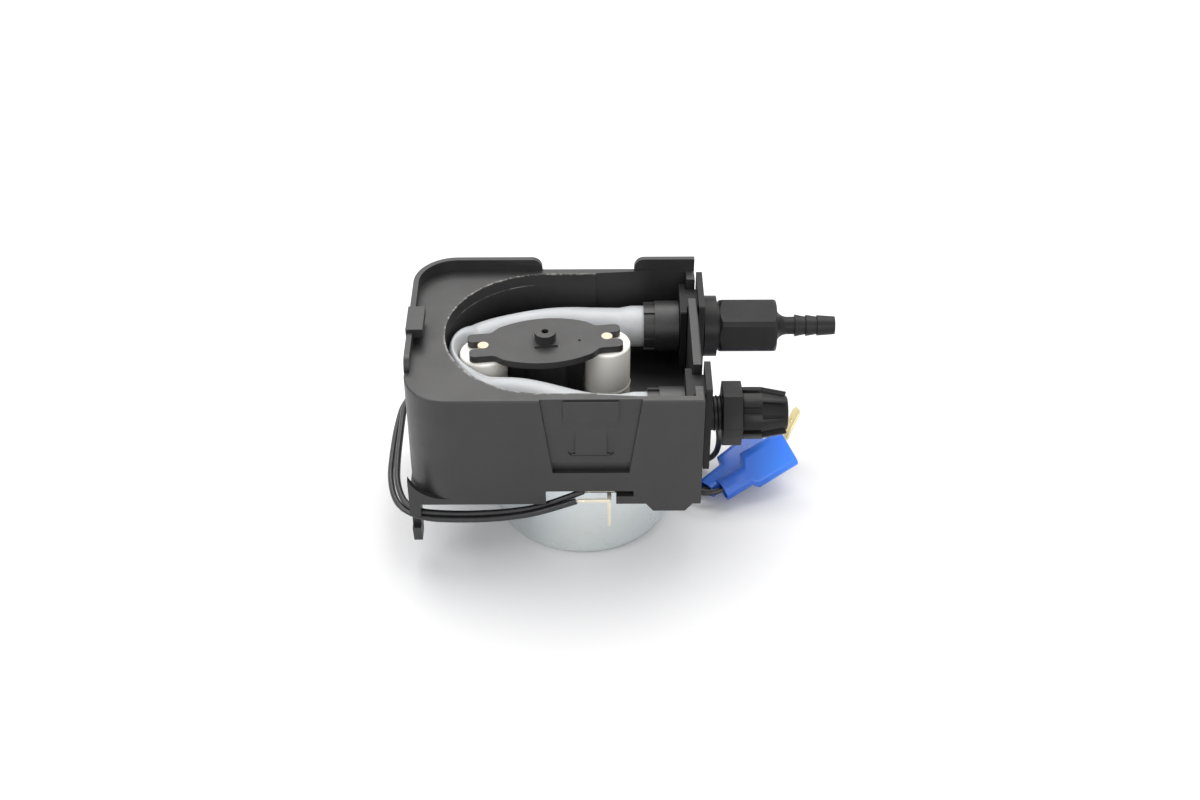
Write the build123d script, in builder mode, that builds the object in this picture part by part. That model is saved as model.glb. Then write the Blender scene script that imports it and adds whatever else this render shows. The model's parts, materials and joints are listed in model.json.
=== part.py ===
from build123d import *
import os
from math import acos, atan2, cos, degrees, hypot, pi, radians, sin, sqrt, tan

# Peristaltic dosing pump: a round geared motor stands upright under a moulded pump body.  Two rollers
# on the motor shaft squeeze a U of tube against a half-round race.
# Millimetres, +Z up.  The origin is on the rotor axis, in the flat bottom of the motor can.

os.makedirs("parts", exist_ok=True)

# ---------------------------------------------------------------- clearances
run_gap = 0.05  # radial, between a turning piece and what it turns on
fit_gap = 0.05  # around pieces pushed or screwed together
part_gap = 0.3  # between neighbours that only lie beside each other
tooth_gap = 0.2  # taken off each gear tooth at the pitch circle
roller_play = 0.2  # above and below a roller
point_slack = 0.01  # for telling corners apart

# ---------------------------------------------------------------- motor
can_radius = 25.0
can_wall = 1.0
can_corner = 2.4
motor_offset = 10.25  # motor axis, ahead of the output shaft
motor_height = 33.4
lid_thick = 2.0
axle_radius = 1.0
magnet_radius = 10.4
magnet_height = 11.0
magnet_bottom = 2.6
coil_gap = 1.0  # between the magnet and the bobbin, where the claws stand
bobbin_wall = 0.8
claw_count = 6
claw_thick = 0.5
claw_width = 5.45
stator_plate_thick = 1.0
frame_plate_bottom = 16.0
frame_plate_thick = 1.2
motor_screw_circle_radius = 20.0
motor_screw_angles = (-60, 60, 180)
motor_screw_radius = 1.5
motor_screw_head = 2.8
motor_screw_slot_width = 0.6
motor_screw_slot_depth = 0.8

# ---------------------------------------------------------------- gear train
gear_module = 0.5
pressure_angle = 20
tooth_root = 1.15  # depth below the pitch circle, in modules
tooth_tip = 0.9  # height above it, in modules
pinion_teeth = 12
wheel_teeth = 36
output_teeth = 48
wheel_thick = 2.2
output_thick = 3.0
layer_gap = 0.4
post_radius = 0.8
gear_collar_radius = 2.25
gear_frame_hole_radius = 4.0
output_hub_height = 1.0
output_hub_wall = 2.2
second_gear_angle = 60.0  # direction of the second gear from the output shaft
shaft_radius = 3.0
shaft_flat = 0.6  # depth of the driving flat
shaft_pivot_radius = 1.5
bush_wall = 2.0
bush_flange = 1.2

# ---------------------------------------------------------------- pump body
body_left_land = 9.8  # deck left of the race
body_right = 42.2
body_side_wall = 2.1  # beside the widened race
body_corner = 12.0
skirt_drop = 8.7  # below the motor's top
deck_rise = 27.1  # above the motor's top
wall = 2.2
right_wall = 2.4
floor_thick = 2.2
rim_height = 3.7
rim_thick = 1.5
rim_back_end = -1.2  # where the rim stops along the back edge
rim_right_start = 25.0
rim_front_end = -18.0  # where the rim stops along the left edge
rim_ramp = 3.0
race_radius = 27.3
race_straight_end = 14.0
race_wide_start = 25.0
race_widening = 1.3
race_relief = 0.5  # step where the straight race ends

# latch pocket in the front and back walls
pocket_centre = 12.4
pocket_half_top = 13.5
pocket_half_bottom = 10.3
pocket_rise = 2.5  # above the motor's top
pocket_depth = 0.8
sill_height = 3.1
sill_depth = 1.6
tongue_half_bottom = 7.3
tongue_length = 5.9
tongue_thick = 0.65
tongue_ramp = 3.4
wedge_half = 4.2
wedge_drop = 10.5  # below the deck
wedge_length = 7.8
wedge_thick = 0.75
wedge_lip = 0.9
wedge_lip_over = 1.0  # past the wedge at each side
wedge_lip_thick = 0.27

# cover hook block on the left edge
hook_half = 5.35
hook_reach = 4.6
hook_thick = 2.7
hook_rise = 4.7  # above the deck

# lower edge
notch_left = 0.1
notch_right = 19.2
notch_height = 4.6
notch_slit_end = 23.9
notch_slit_height = 1.9
foot_inset = 2.2  # from the right end of the body
foot_length = 12.7
foot_drop = 2.6
foot_slope = 2.0
flange_thick = 2.0
gusset_height = 9.0
gusset_length = 9.2
gusset_thick = 1.6
gusset_bend_along = 3.5
gusset_bend_up = 4.15
clip_tab_width = 3.0
clip_tab_drop = 4.2
clip_tab_thick = 1.1
snap_arm_thick = 2.4
snap_arm_outer = 26.4
snap_arm_inner = 20.0
snap_arm_bottom = 8.0
snap_barb_height = 5.8
snap_barb_reach = 1.8
snap_barb_lead = 0.35

# ---------------------------------------------------------------- rotor
rotor_turn = 6.76  # resting angle of the right roller
roller_radius = 6.5
roller_rise = 7.65  # top, above the tube's middle
roller_drop = 9.15  # bottom, below the tube's middle
roller_shoulder = 0.7
roller_bead_rise = 3.4  # above the roller's bottom
roller_bead = 0.18
roller_bead_half = 0.54
pin_radius = 1.5
plate_thick = 2.0
plate_half_width = 10.2
plate_bow_radius = 27.0
arm_half_width = 5.15
fork_length = 4.05  # of an arm, past its roller pin
arm_setback = 3.65  # from the roller pin to where the arm starts
arm_neck_in = 1.2
arm_neck_out = 1.0
arm_root_round = 2.4
bow_round = 2.0
fork_round = 1.5
carrier_plate_thick = 1.8
carrier_hub_radius = 6.2
carrier_web_half = 2.4
carrier_web_gap = 0.35  # to the rollers
boss_radius = 2.95
boss_height = 3.1
boss_pad = 6.4
boss_pad_height = 0.5
socket_radius = 1.0
socket_depth = 2.4
dimple_radius = 0.4
dimple_offset = 9.4

# ---------------------------------------------------------------- tube and fittings
tube_radius = 5.25
tube_wall = 2.0
wall_squeeze = 0.25  # both tube walls together, where a roller flattens the tube
squeeze_gap = 0.15
squeeze_steps = 10
back_bore_steps = 4
front_bore_steps = 2
blend_steps = 4
fitting_wall_room = 8.75  # from a fitting's middle to the widened race
fitting_rise = 14.15  # above the motor's top
tube_back_straight = 8.5
tube_front_straight = 2.5
tube_leave_turn = 60
tube_front_run = ((-12.5, -14.3), (1.0, -16.5))
tube_back_run = ((-5.2, 16.1),)
flare_radius = 5.85
tube_end_gap = 0.6
tube_flare_lead = 2.9  # before the spigot's tip
tube_flare_length = 3.5
spigot_radius = 3.8
spigot_tip = 3.2
spigot_taper = 1.6
spigot_length = 14.3
spigot_bore = 2.2
clamp_length = 9.9
clamp_gap = 0.2
clamp_ring_length = 3.1
clamp_ring_radius = 6.6
clamp_body_radius = 7.3
clamp_rib_count = 10
clamp_rib = 1.0
inner_flange_thick = 1.8
inner_flange_half = 7.3
inner_flange_reach = 9.95  # above and below the fitting's middle
neck_half = 4.5
neck_drop = 7.1
outer_plate_thick = 1.7
outer_plate_drop = 14.55
outer_plate_gap = 0.5
discharge_plate_half = 8.8
suction_plate_half = 6.45
stub_radius = 4.6
stub_length = 6.6

# discharge hose adapter
disc_radius = 8.7
disc_thick = 3.6
adapter_neck_radius = 7.0
hex_corner = 0.8
hex_setback = 4.7  # from the outer plate
hex_length = 16.3
discharge_hex_flats = 14.6
shank_radius = 2.55
shank_cove = 3.4
shank_cove_length = 3.6
shank_length = 1.9
barb_end = 2.6
barb_radius = 3.2
barb_count = 3
barb_pitch = 3.2
barb_taper = 0.35
barb_length = 11.5
barb_bore = 1.6

# suction union and its compression nut
union_hex_setback = 3.2  # from the outer plate
union_hex_length = 5.1
union_turn = -8.7
suction_hex_flats = 14.9
union_thread_radius = 5.2
union_thread_length = 6.8
union_nipple_radius = 2.0
union_nipple_length = 1.7
union_bore = 1.1
nut_gap = 0.2
nut_length = 12.2
nut_radius = 6.4
nut_end_radius = 5.0
nut_straight_length = 5.1
nut_rib = 0.6
nut_rib_round = 0.54
nut_rib_count = 8
nut_rib_width = 2.7
nut_hose_radius = 3.0
ring_bore = 3.35
ring_length = 1.6

# ---------------------------------------------------------------- motor terminals, leads and their terminals
tab_thick = 0.5
tab_width = 1.2
front_tab_left = 8.8
front_tab_right = 17.9
front_tab_rise = 0.4  # above the terminal block's bottom
front_tab_y = -31.2
front_leg_length = 9.8
rear_tab_left = 10.7
rear_tab_right = 18.9
rear_tab_y = -29.55
block_left = 9.0
block_right = 21.0
block_front = -27.8
block_depth = 6.0
block_height = 3.0
front_barrel_end = (50.72, -3.72, 5.53)
front_azimuth = 28.6
front_elevation = 15.0
front_roll = 44.0
rear_barrel_end = (46.5, 0, 2.8)
rear_azimuth = 40
rear_elevation = 12
crimp_start = 3.0
receptacle_width = 7.2
receptacle_setback = 3.0
front_route = (
    (10.25, -29.3, 28.1), (4.6, -29.3, 25.1), (-3.5, -29.2, 22.1), (-14, -28.5, 21),
    (-26.5, -28, 20.7), (-38.6, -28, 21.2), (-43.8, -20, 22), (-44.3, -8, 22.6),
    (-44, 5, 22.8), (-43.9, 17.5, 22.3), (-39.6, 28, 21), (-26, 28.3, 19.5),
    (-12, 29.5, 17), (2, 30.5, 13), (16, 30, 8), (27, 26.5, 5),
    (34.5, 20.6, 4.4), (39, 13.4, 4.5), (39.9, 6.2, 4.6), (39.9, -0.2, 4.6),
    (44.2, -4.3, 4.8), (49.7, -4.27, 5.22), (53.26, -2.33, 6.31),
)
rear_route = (
    (8.3, -30.95, 26), (2.6, -31.2, 23.2), (-5, -30.7, 20.4), (-15, -30.2, 18.7),
    (-25.5, -29.9, 18.3), (-34.5, -29.8, 18.5), (-42.2, -25.7, 19.2), (-45.6, -15.5, 20),
    (-46, -4, 20.4), (-45.2, 8.5, 20.4), (-43.6, 21, 19.9), (-36.5, 29.5, 18.6),
    (-25, 30.6, 16.9), (-12, 31.8, 14.5), (2, 32.8, 11.5), (16, 33, 9.5),
    (28.5, 31.5, 10), (39.5, 27, 13.5), (45.6, 21.6, 16.4), (49, 16.6, 18.2),
    (50.4, 11.7, 14.3), (50.3, 11.2, 8.8), (48.6, 12.2, 4.2), (44.8, 13.5, 1.8),
    (40.2, 12.5, 1.3), (37, 8.2, 1.3), (36.8, 2.8, 1.3), (40.5, -0.9, 1.8),
    (45.6, -0.75, 2.55), (48.75, 1.89, 3.42),
)
lead_radius = 0.875
bend_share = 0.45  # of the shorter run beside a bend
sleeve_length = 23.5
sleeve_width = 9.3
sleeve_thick = 4.6
sleeve_barrel_width = 6.8
sleeve_barrel_length = 8.6
sleeve_shoulder = 1.4
sleeve_wall = 0.7
sleeve_core_end = 10.0
blade_width = 6.3
blade_thick = 0.8
blade_reach = 9.0
blade_hole_radius = 0.9

# ---------------------------------------------------------------- derived places
race_wide_half = race_radius + race_widening
body_left = -race_radius - body_left_land
body_half_width = race_wide_half + body_side_wall
skirt_bottom = motor_height - skirt_drop
deck_top = motor_height + deck_rise
floor_top = motor_height + floor_thick
pocket_bottom = motor_height + pocket_rise
tongue_bottom = deck_top - tongue_length
wedge_top = deck_top - wedge_drop
wedge_bottom = wedge_top - wedge_length
hook_top = deck_top + hook_rise
foot_right = body_right - foot_inset
foot_left = foot_right - foot_length
fitting_half_pitch = race_wide_half - fitting_wall_room
fitting_height = motor_height + fitting_rise
roller_orbit = race_radius - roller_radius - 2 * tube_wall + wall_squeeze
arm_tip = roller_orbit + fork_length
arm_start = roller_orbit - arm_setback
carrier_web_reach = roller_orbit - roller_radius - carrier_web_gap
roller_top = fitting_height + roller_rise
roller_bottom = fitting_height - roller_drop
roller_bead_height = roller_bottom + roller_bead_rise
plate_bottom = roller_top + roller_play
plate_top = plate_bottom + plate_thick
carrier_top = roller_bottom - roller_play
carrier_bottom = carrier_top - carrier_plate_thick
lid_bottom = motor_height - lid_thick
can_inner = can_radius - can_wall
right_inner = body_right - right_wall
outer_plate_start = body_right + outer_plate_gap
outer_plate_end = outer_plate_start + outer_plate_thick
inner_flange_start = right_inner - part_gap - inner_flange_thick
inner_flange_bottom = fitting_height - inner_flange_reach
neck_top = fitting_height + inner_flange_reach
neck_bottom = fitting_height - neck_drop
slot_bottom = neck_bottom - part_gap / 2
outer_plate_bottom = fitting_height - outer_plate_drop
spigot_start = inner_flange_start - spigot_length
tube_end = inner_flange_start - tube_end_gap
tube_flare_start = spigot_start - tube_flare_lead
tube_flare_end = tube_flare_start + tube_flare_length
back_straight_start = tube_flare_start - tube_back_straight
front_straight_start = tube_flare_start - tube_front_straight
clamp_end = inner_flange_start - clamp_gap
clamp_start = clamp_end - clamp_length
stub_end = outer_plate_end + stub_length
hex_start = outer_plate_end + hex_setback
hex_end = hex_start + hex_length
shank_start = hex_end + shank_cove_length
barb_start = shank_start + shank_length
barb_tip = barb_start + barb_length
union_hex_start = outer_plate_end + union_hex_setback
union_hex_end = union_hex_start + union_hex_length
union_thread_end = union_hex_end + union_thread_length
union_nipple_end = union_thread_end + union_nipple_length
nut_start = union_hex_end + nut_gap
nut_end = nut_start + nut_length
nut_taper_start = nut_start + nut_straight_length
block_top = skirt_bottom + notch_height - 2 * fit_gap
block_bottom = block_top - block_height
front_tab_top = block_bottom + front_tab_rise
front_leg_bottom = front_tab_top - front_leg_length
rear_tab_top = block_top - tab_thick
hex_turn = -38.7  # turn of a hexagon flat or corner about the fitting axis


def polar(radius, angle):
    """A point at this radius and angle (degrees) about the rotor axis."""
    return Vector(radius * cos(radians(angle)), radius * sin(radians(angle)))


def save(part, label):
    """Names a finished piece and writes it to its own file."""
    part.label = label
    export_step(part, f"parts/{label}.step")


def facing_x(x, side):
    """Plane across a fitting axis at this x, on the discharge (+1) or suction (-1) side."""
    return Plane(origin=(x, side * fitting_half_pitch, fitting_height), x_dir=(0, 1, 0), z_dir=(1, 0, 0))


def wall_plane(side, x=0.0, depth=0.0):
    """Plane on the front (-1) or back (+1) wall of the body, looking at it from outside, Z up."""
    return Plane(origin=(x, side * (body_half_width - depth), 0), x_dir=(-side, 0, 0), z_dir=(0, side, 0))


def body_outline(inset, right_inset):
    """The body seen from above, with two rounded left corners, drawn this far inside its walls."""
    left, right = body_left + inset, body_right - right_inset
    with BuildSketch() as outline:
        with Locations(((left + right) / 2, 0)):
            Rectangle(right - left, 2 * (body_half_width - inset))
        fillet(outline.vertices().group_by(Axis.X)[0], body_corner - inset)
    return outline.sketch


def chamber_outline():
    """Half-round race, straight towards the fittings and opened out beside them."""
    upper = [
        (0, race_radius),
        (race_straight_end, race_radius),
        (race_straight_end, race_radius + race_relief),
        (race_wide_start, race_wide_half),
        (right_inner, race_wide_half),
    ]
    with BuildSketch() as outline:
        with BuildLine():
            ThreePointArc((0, -race_radius), (-race_radius, 0), (0, race_radius))
            Polyline(*upper, *[(x, -y) for x, y in reversed(upper)])
        make_face()
    return outline.sketch


def rim_outline():
    """Rim along the back, round the left corner and down the left edge, and at the back right."""
    with BuildSketch() as outline:
        add(body_outline(0, 0))
        add(body_outline(rim_thick, -rim_thick), mode=Mode.SUBTRACT)
        with Locations(((rim_back_end + rim_right_start) / 2, body_half_width)):
            Rectangle(rim_right_start - rim_back_end, 4 * rim_thick, mode=Mode.SUBTRACT)
        with Locations((body_right, rim_front_end)):
            Rectangle(
                4 * body_right, 4 * body_half_width, align=(Align.CENTER, Align.MAX), mode=Mode.SUBTRACT
            )
    return outline.sketch


# ================================================================ pump body
edge_round = 0.6
bush_radius = shaft_radius + run_gap + bush_wall
screw_places = [
    Vector(motor_offset, 0) + polar(motor_screw_circle_radius, angle) for angle in motor_screw_angles
]
outer_face = body_outline(0, 0)
inner_face = body_outline(wall, right_wall)
chamber_face = chamber_outline()
rim_face = rim_outline()

with BuildPart() as pump_body:
    with BuildSketch(Plane.XY.offset(skirt_bottom)):
        add(outer_face)
    extrude(amount=deck_top - skirt_bottom)
    fillet(faces().sort_by(Axis.Z)[-1].edges(), edge_round)

    # square lower corners on the left, with a curved gusset up each outer wall
    with BuildSketch(Plane.XY.offset(skirt_bottom)):
        for side in (-1, 1):
            with Locations((body_left + body_corner / 2, side * (body_half_width - body_corner / 2))):
                Rectangle(body_corner, body_corner)
    extrude(amount=flange_thick)
    for side in (-1, 1):
        corner = -side * body_left
        gusset_foot = (corner - side * gusset_length, skirt_bottom + flange_thick)
        gusset_bend = (corner - side * gusset_bend_along, skirt_bottom + gusset_bend_up)
        gusset_tip = (corner, skirt_bottom + gusset_height)
        with BuildSketch(wall_plane(side)):
            with BuildLine():
                ThreePointArc(gusset_tip, gusset_bend, gusset_foot)
                Polyline(gusset_foot, (corner, skirt_bottom + flange_thick), gusset_tip)
            make_face()
        extrude(amount=-gusset_thick)

    # room for the motor, and the cored corners outside the race
    with BuildSketch(Plane.XY.offset(skirt_bottom)):
        add(inner_face)
    extrude(amount=motor_height - skirt_bottom, mode=Mode.SUBTRACT)
    with BuildSketch(Plane.XY.offset(motor_height)):
        add(inner_face)
        Circle(race_radius + wall, mode=Mode.SUBTRACT)
        with Locations((-body_corner / 2, 0)):
            Rectangle(2 * body_right, 4 * body_half_width, align=(Align.MIN, Align.CENTER), mode=Mode.SUBTRACT)
    extrude(amount=deck_top - wall - motor_height, mode=Mode.SUBTRACT)

    # pump chamber, and the open slots for the two fittings
    with BuildSketch(Plane.XY.offset(floor_top)):
        add(chamber_face)
    extrude(amount=deck_top - floor_top, mode=Mode.SUBTRACT)
    with BuildSketch(Plane.YZ.offset(right_inner)):
        for side in (-1, 1):
            with Locations((side * fitting_half_pitch, slot_bottom)):
                Rectangle(2 * neck_half + part_gap, deck_top, align=(Align.CENTER, Align.MIN))
    extrude(amount=right_wall, mode=Mode.SUBTRACT)

    # rim
    with BuildSketch(Plane.XY.offset(deck_top - edge_round)):
        add(rim_face)
    extrude(amount=rim_height + edge_round)
    rim_ends = edges().group_by(Axis.Z)[-1].filter_by(lambda e: abs(e.length - rim_thick) < part_gap)
    fillet(rim_ends.sort_by(Axis.X)[:-1], rim_ramp)

    # hook block over the left rim
    with BuildSketch(Plane.XY.offset(hook_top - hook_thick)):
        with Locations((body_left - edge_round / 2, 0)):
            Rectangle(hook_reach, 2 * hook_half, align=(Align.MIN, Align.CENTER))
    extrude(amount=hook_thick)

    # latch pocket, tongue, wedge and sill in the front and back walls
    for side in (-1, 1):
        with BuildSketch(wall_plane(side, pocket_centre)):
            with BuildLine():
                Polyline(
                    (-pocket_half_top, deck_top),
                    (-pocket_half_bottom, pocket_bottom),
                    (pocket_half_bottom, pocket_bottom),
                    (pocket_half_top, deck_top),
                    close=True,
                )
            make_face()
        extrude(amount=-pocket_depth, mode=Mode.SUBTRACT)
        with BuildSketch(wall_plane(side, pocket_centre)):
            with Locations((0, pocket_bottom)):
                Rectangle(2 * pocket_half_bottom, sill_height, align=(Align.CENTER, Align.MIN))
        extrude(amount=-sill_depth, mode=Mode.SUBTRACT)
        face_y = side * (body_half_width - pocket_depth)
        tongue_y = face_y + side * tongue_thick
        with BuildSketch(Plane.YZ.offset(pocket_centre)):
            with BuildLine():
                Polyline(
                    (face_y, deck_top - edge_round),
                    (tongue_y, deck_top - edge_round),
                    (tongue_y, tongue_bottom),
                    (face_y, tongue_bottom - tongue_ramp),
                    close=True,
                )
            make_face()
        extrude(amount=tongue_half_bottom, both=True)
        with BuildSketch(Plane.YZ.offset(pocket_centre)):
            with BuildLine():
                Polyline(
                    (face_y, wedge_top),
                    (face_y + side * wedge_thick, wedge_bottom),
                    (face_y, wedge_bottom),
                    close=True,
                )
            make_face()
        extrude(amount=wedge_half, both=True)
        with BuildSketch(wall_plane(side, pocket_centre, pocket_depth)):
            with Locations((0, wedge_bottom)):
                Rectangle(2 * (wedge_half + wedge_lip_over), wedge_lip, align=(Align.CENTER, Align.MAX))
        extrude(amount=wedge_lip_thick)

    # cable notch and slit in the front wall
    with BuildSketch(wall_plane(-1)):
        with Locations((notch_left, skirt_bottom)):
            Rectangle(notch_right - notch_left, notch_height, align=(Align.MIN, Align.MIN))
        with Locations((notch_right, skirt_bottom + notch_height)):
            Rectangle(notch_slit_end - notch_right, notch_slit_height, align=(Align.MIN, Align.MAX))
    extrude(amount=-wall, mode=Mode.SUBTRACT)

    # feet, cable tabs and snap arms on both long walls
    for side in (-1, 1):
        with BuildSketch(wall_plane(side)):
            foot_ends = (-side * foot_left, -side * foot_right)
            foot_tips = (-side * (foot_left + foot_slope), -side * (foot_right - foot_slope))
            with BuildLine():
                Polyline(
                    (foot_ends[0], skirt_bottom),
                    (foot_tips[0], skirt_bottom - foot_drop),
                    (foot_tips[1], skirt_bottom - foot_drop),
                    (foot_ends[1], skirt_bottom),
                    close=True,
                )
            make_face()
        extrude(amount=-wall)
        with BuildSketch(wall_plane(side)):
            with Locations((-side * (body_left + clip_tab_width / 2), skirt_bottom)):
                Rectangle(clip_tab_width, clip_tab_drop, align=(Align.CENTER, Align.MAX))
        extrude(amount=-clip_tab_thick)
        arm_mid = snap_arm_bottom + snap_barb_height
        with BuildSketch(Plane.YZ.offset(body_left)):
            with BuildLine():
                Polyline(
                    (side * snap_arm_inner, skirt_bottom),
                    (side * snap_arm_outer, skirt_bottom),
                    (side * snap_arm_outer, arm_mid),
                    (side * (snap_arm_outer + snap_barb_reach), arm_mid),
                    (side * (snap_arm_outer + snap_barb_lead), snap_arm_bottom),
                    (side * (snap_arm_inner + wall), snap_arm_bottom),
                    close=True,
                )
            make_face()
        extrude(amount=snap_arm_thick)

    # bush hole and countersunk screw holes in the chamber floor
    with Locations((0, 0, floor_top)):
        Hole(bush_radius + fit_gap, depth=floor_thick)
    with Locations(*[(place.X, place.Y, floor_top) for place in screw_places]):
        CounterSinkHole(motor_screw_radius + 2 * fit_gap, motor_screw_head + fit_gap, depth=floor_thick)
save(pump_body.part, "pump_body")

# ================================================================ motor
with BuildPart() as motor_can:
    with BuildSketch():
        with Locations((motor_offset, 0)):
            Circle(can_radius)
    extrude(amount=motor_height)
    fillet(faces().sort_by(Axis.Z)[0].edges(), can_corner)
    offset(amount=-can_wall, openings=faces().sort_by(Axis.Z)[-1])
save(motor_can.part, "motor_can")

with BuildPart() as motor_lid:
    with BuildSketch(Plane.XY.offset(lid_bottom)):
        with Locations((motor_offset, 0)):
            Circle(can_inner - fit_gap)
    extrude(amount=lid_thick)
    with Locations((0, 0, motor_height)):
        Hole(bush_radius + fit_gap)
    with Locations(*[(place.X, place.Y, motor_height) for place in screw_places]):
        Hole(motor_screw_radius + fit_gap)
save(motor_lid.part, "motor_lid")

with BuildPart() as motor_screws:
    for place in screw_places:
        with BuildSketch(Plane.XY.offset(lid_bottom)):
            with Locations((place.X, place.Y)):
                Circle(motor_screw_radius)
        extrude(amount=floor_top - lid_bottom)
        head_height = motor_screw_head - motor_screw_radius
        with Locations((place.X, place.Y, floor_top - head_height / 2)):
            Cone(motor_screw_radius, motor_screw_head - fit_gap, head_height)
        with BuildSketch(Plane.XY.offset(floor_top)):
            with Locations((place.X, place.Y)):
                Rectangle(2 * motor_screw_radius, motor_screw_slot_width)
                Rectangle(motor_screw_slot_width, 2 * motor_screw_radius)
        extrude(amount=-motor_screw_slot_depth, mode=Mode.SUBTRACT)
save(motor_screws.part, "motor_screws")

with BuildPart() as output_bush:
    with BuildSketch(Plane.XY.offset(lid_bottom - bush_flange)):
        Circle(bush_radius + bush_flange)
    extrude(amount=bush_flange)
    with BuildSketch(Plane.XY.offset(lid_bottom)):
        Circle(bush_radius)
    extrude(amount=floor_top - lid_bottom)
    with Locations((0, 0, floor_top)):
        Hole(shaft_radius + run_gap)
save(output_bush.part, "output_bush")

# claw-pole stator: two plates whose fingers interleave around the magnet
claw_radius = magnet_radius + coil_gap / 2
stator_top = frame_plate_bottom
stator_base = can_wall
for label, plate_z, claw_from, claw_to, turn in (
    ("lower_stator_plate", stator_base, stator_base, stator_top - 2 * stator_plate_thick, 0),
    (
        "upper_stator_plate",
        stator_top - stator_plate_thick,
        stator_base + 2 * stator_plate_thick,
        stator_top,
        180 / claw_count,
    ),
):
    with BuildPart() as stator_plate:
        with BuildSketch(Plane.XY.offset(plate_z)):
            with Locations((motor_offset, 0)):
                Circle(can_inner - can_corner)
                Circle(claw_radius, mode=Mode.SUBTRACT)
        extrude(amount=stator_plate_thick)
        with BuildSketch(Plane.XY.offset(claw_from)):
            with Locations((motor_offset, 0)):
                with PolarLocations(claw_radius + claw_thick / 2, claw_count, turn):
                    Rectangle(claw_thick, claw_width)
        extrude(amount=claw_to - claw_from)
    save(stator_plate.part, label)

bobbin_inner = hypot(claw_radius + claw_thick, claw_width / 2) + fit_gap
bobbin_outer = can_inner - can_corner
bobbin_bottom = stator_base + stator_plate_thick
bobbin_top = stator_top - stator_plate_thick
with BuildPart() as coil_bobbin:
    for base, height, radius in (
        (bobbin_bottom, bobbin_wall, bobbin_outer),
        (bobbin_bottom, bobbin_top - bobbin_bottom, bobbin_inner + bobbin_wall),
        (bobbin_top - bobbin_wall, bobbin_wall, bobbin_outer),
    ):
        with BuildSketch(Plane.XY.offset(base)):
            with Locations((motor_offset, 0)):
                Circle(radius)
                Circle(bobbin_inner, mode=Mode.SUBTRACT)
        extrude(amount=height)
save(coil_bobbin.part, "coil_bobbin")

with BuildPart() as coil_winding:
    with BuildSketch(Plane.XY.offset(bobbin_bottom + bobbin_wall)):
        with Locations((motor_offset, 0)):
            Circle(bobbin_outer - bobbin_wall)
            Circle(bobbin_inner + bobbin_wall + fit_gap, mode=Mode.SUBTRACT)
    extrude(amount=bobbin_top - bobbin_bottom - 2 * bobbin_wall)
save(coil_winding.part, "coil_winding")

# ================================================================ gear train
magnet_centre = Vector(motor_offset, 0)
pinion_pitch = gear_module * pinion_teeth / 2
wheel_pitch = gear_module * wheel_teeth / 2
output_pitch = gear_module * output_teeth / 2
stage_pitch = pinion_pitch + wheel_pitch
second_centre = polar(pinion_pitch + output_pitch, second_gear_angle)
between = second_centre - magnet_centre
rise = sqrt(stage_pitch**2 - (between.length / 2) ** 2)
first_centre = magnet_centre + between * 0.5 + Vector(between.Y, -between.X) * (rise / between.length)

frame_top = frame_plate_bottom + frame_plate_thick
first_wheel_z = frame_top + layer_gap
second_wheel_z = first_wheel_z + wheel_thick + layer_gap
output_wheel_z = second_wheel_z + wheel_thick + layer_gap
gear_ceiling = lid_bottom - bush_flange - layer_gap


def direction(start, end):
    """Angle in degrees of the line from one gear centre to another."""
    return degrees(atan2(end.Y - start.Y, end.X - start.X))


def gear(teeth, z, height, centre, tooth_angle):
    """Spur gear with involute flanks and one tooth centred on tooth_angle, added to the part being made."""
    pitch = gear_module * teeth / 2
    base = pitch * cos(radians(pressure_angle))
    root = pitch - tooth_root * gear_module
    tip = pitch + tooth_tip * gear_module
    involute = tan(radians(pressure_angle)) - radians(pressure_angle)
    half_pitch_tooth = (pi * gear_module / 2 - tooth_gap) / (2 * pitch)

    def half_tooth(radius):
        """Half of a tooth's angle, in degrees, at this radius."""
        pressure = acos(min(1.0, base / radius))
        return degrees(half_pitch_tooth + involute - (tan(pressure) - pressure))

    flank = [(radius, half_tooth(max(radius, base))) for radius in (root, pitch, tip)]
    corners = []
    for tooth in range(teeth):
        middle = tooth_angle + 360 * tooth / teeth
        corners += [centre + polar(radius, middle - half) for radius, half in flank]
        corners += [centre + polar(radius, middle + half) for radius, half in reversed(flank)]
    with BuildSketch(Plane.XY.offset(z)) as outline:
        with BuildLine():
            Polyline(*[(corner.X, corner.Y) for corner in corners], close=True)
        make_face()
    extrude(outline.sketch, amount=height)


def column(centre, z, height, radius, mode=Mode.ADD):
    """Round column from z upwards, added to or cut from the part being made."""
    with BuildSketch(Plane.XY.offset(z)) as disc:
        with Locations((centre.X, centre.Y)):
            Circle(radius)
    extrude(disc.sketch, amount=height, mode=mode)


with BuildPart() as gear_frame:
    column(magnet_centre, frame_plate_bottom, frame_plate_thick, can_inner - fit_gap)
    column(magnet_centre, frame_plate_bottom, frame_plate_thick, gear_frame_hole_radius, Mode.SUBTRACT)
    for centre in (first_centre, second_centre):
        column(centre, frame_plate_bottom, frame_plate_thick, post_radius + fit_gap / 2, Mode.SUBTRACT)
    column(Vector(0, 0), frame_plate_bottom, frame_plate_thick, shaft_pivot_radius + run_gap, Mode.SUBTRACT)
save(gear_frame.part, "gear_frame")

with BuildPart() as gear_posts:
    for centre in (first_centre, second_centre):
        column(centre, frame_plate_bottom, lid_bottom - frame_plate_bottom, post_radius)
save(gear_posts.part, "gear_posts")

with BuildPart() as magnet_axle:
    column(magnet_centre, can_wall, second_wheel_z - can_wall, axle_radius)
save(magnet_axle.part, "magnet_axle")

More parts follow.
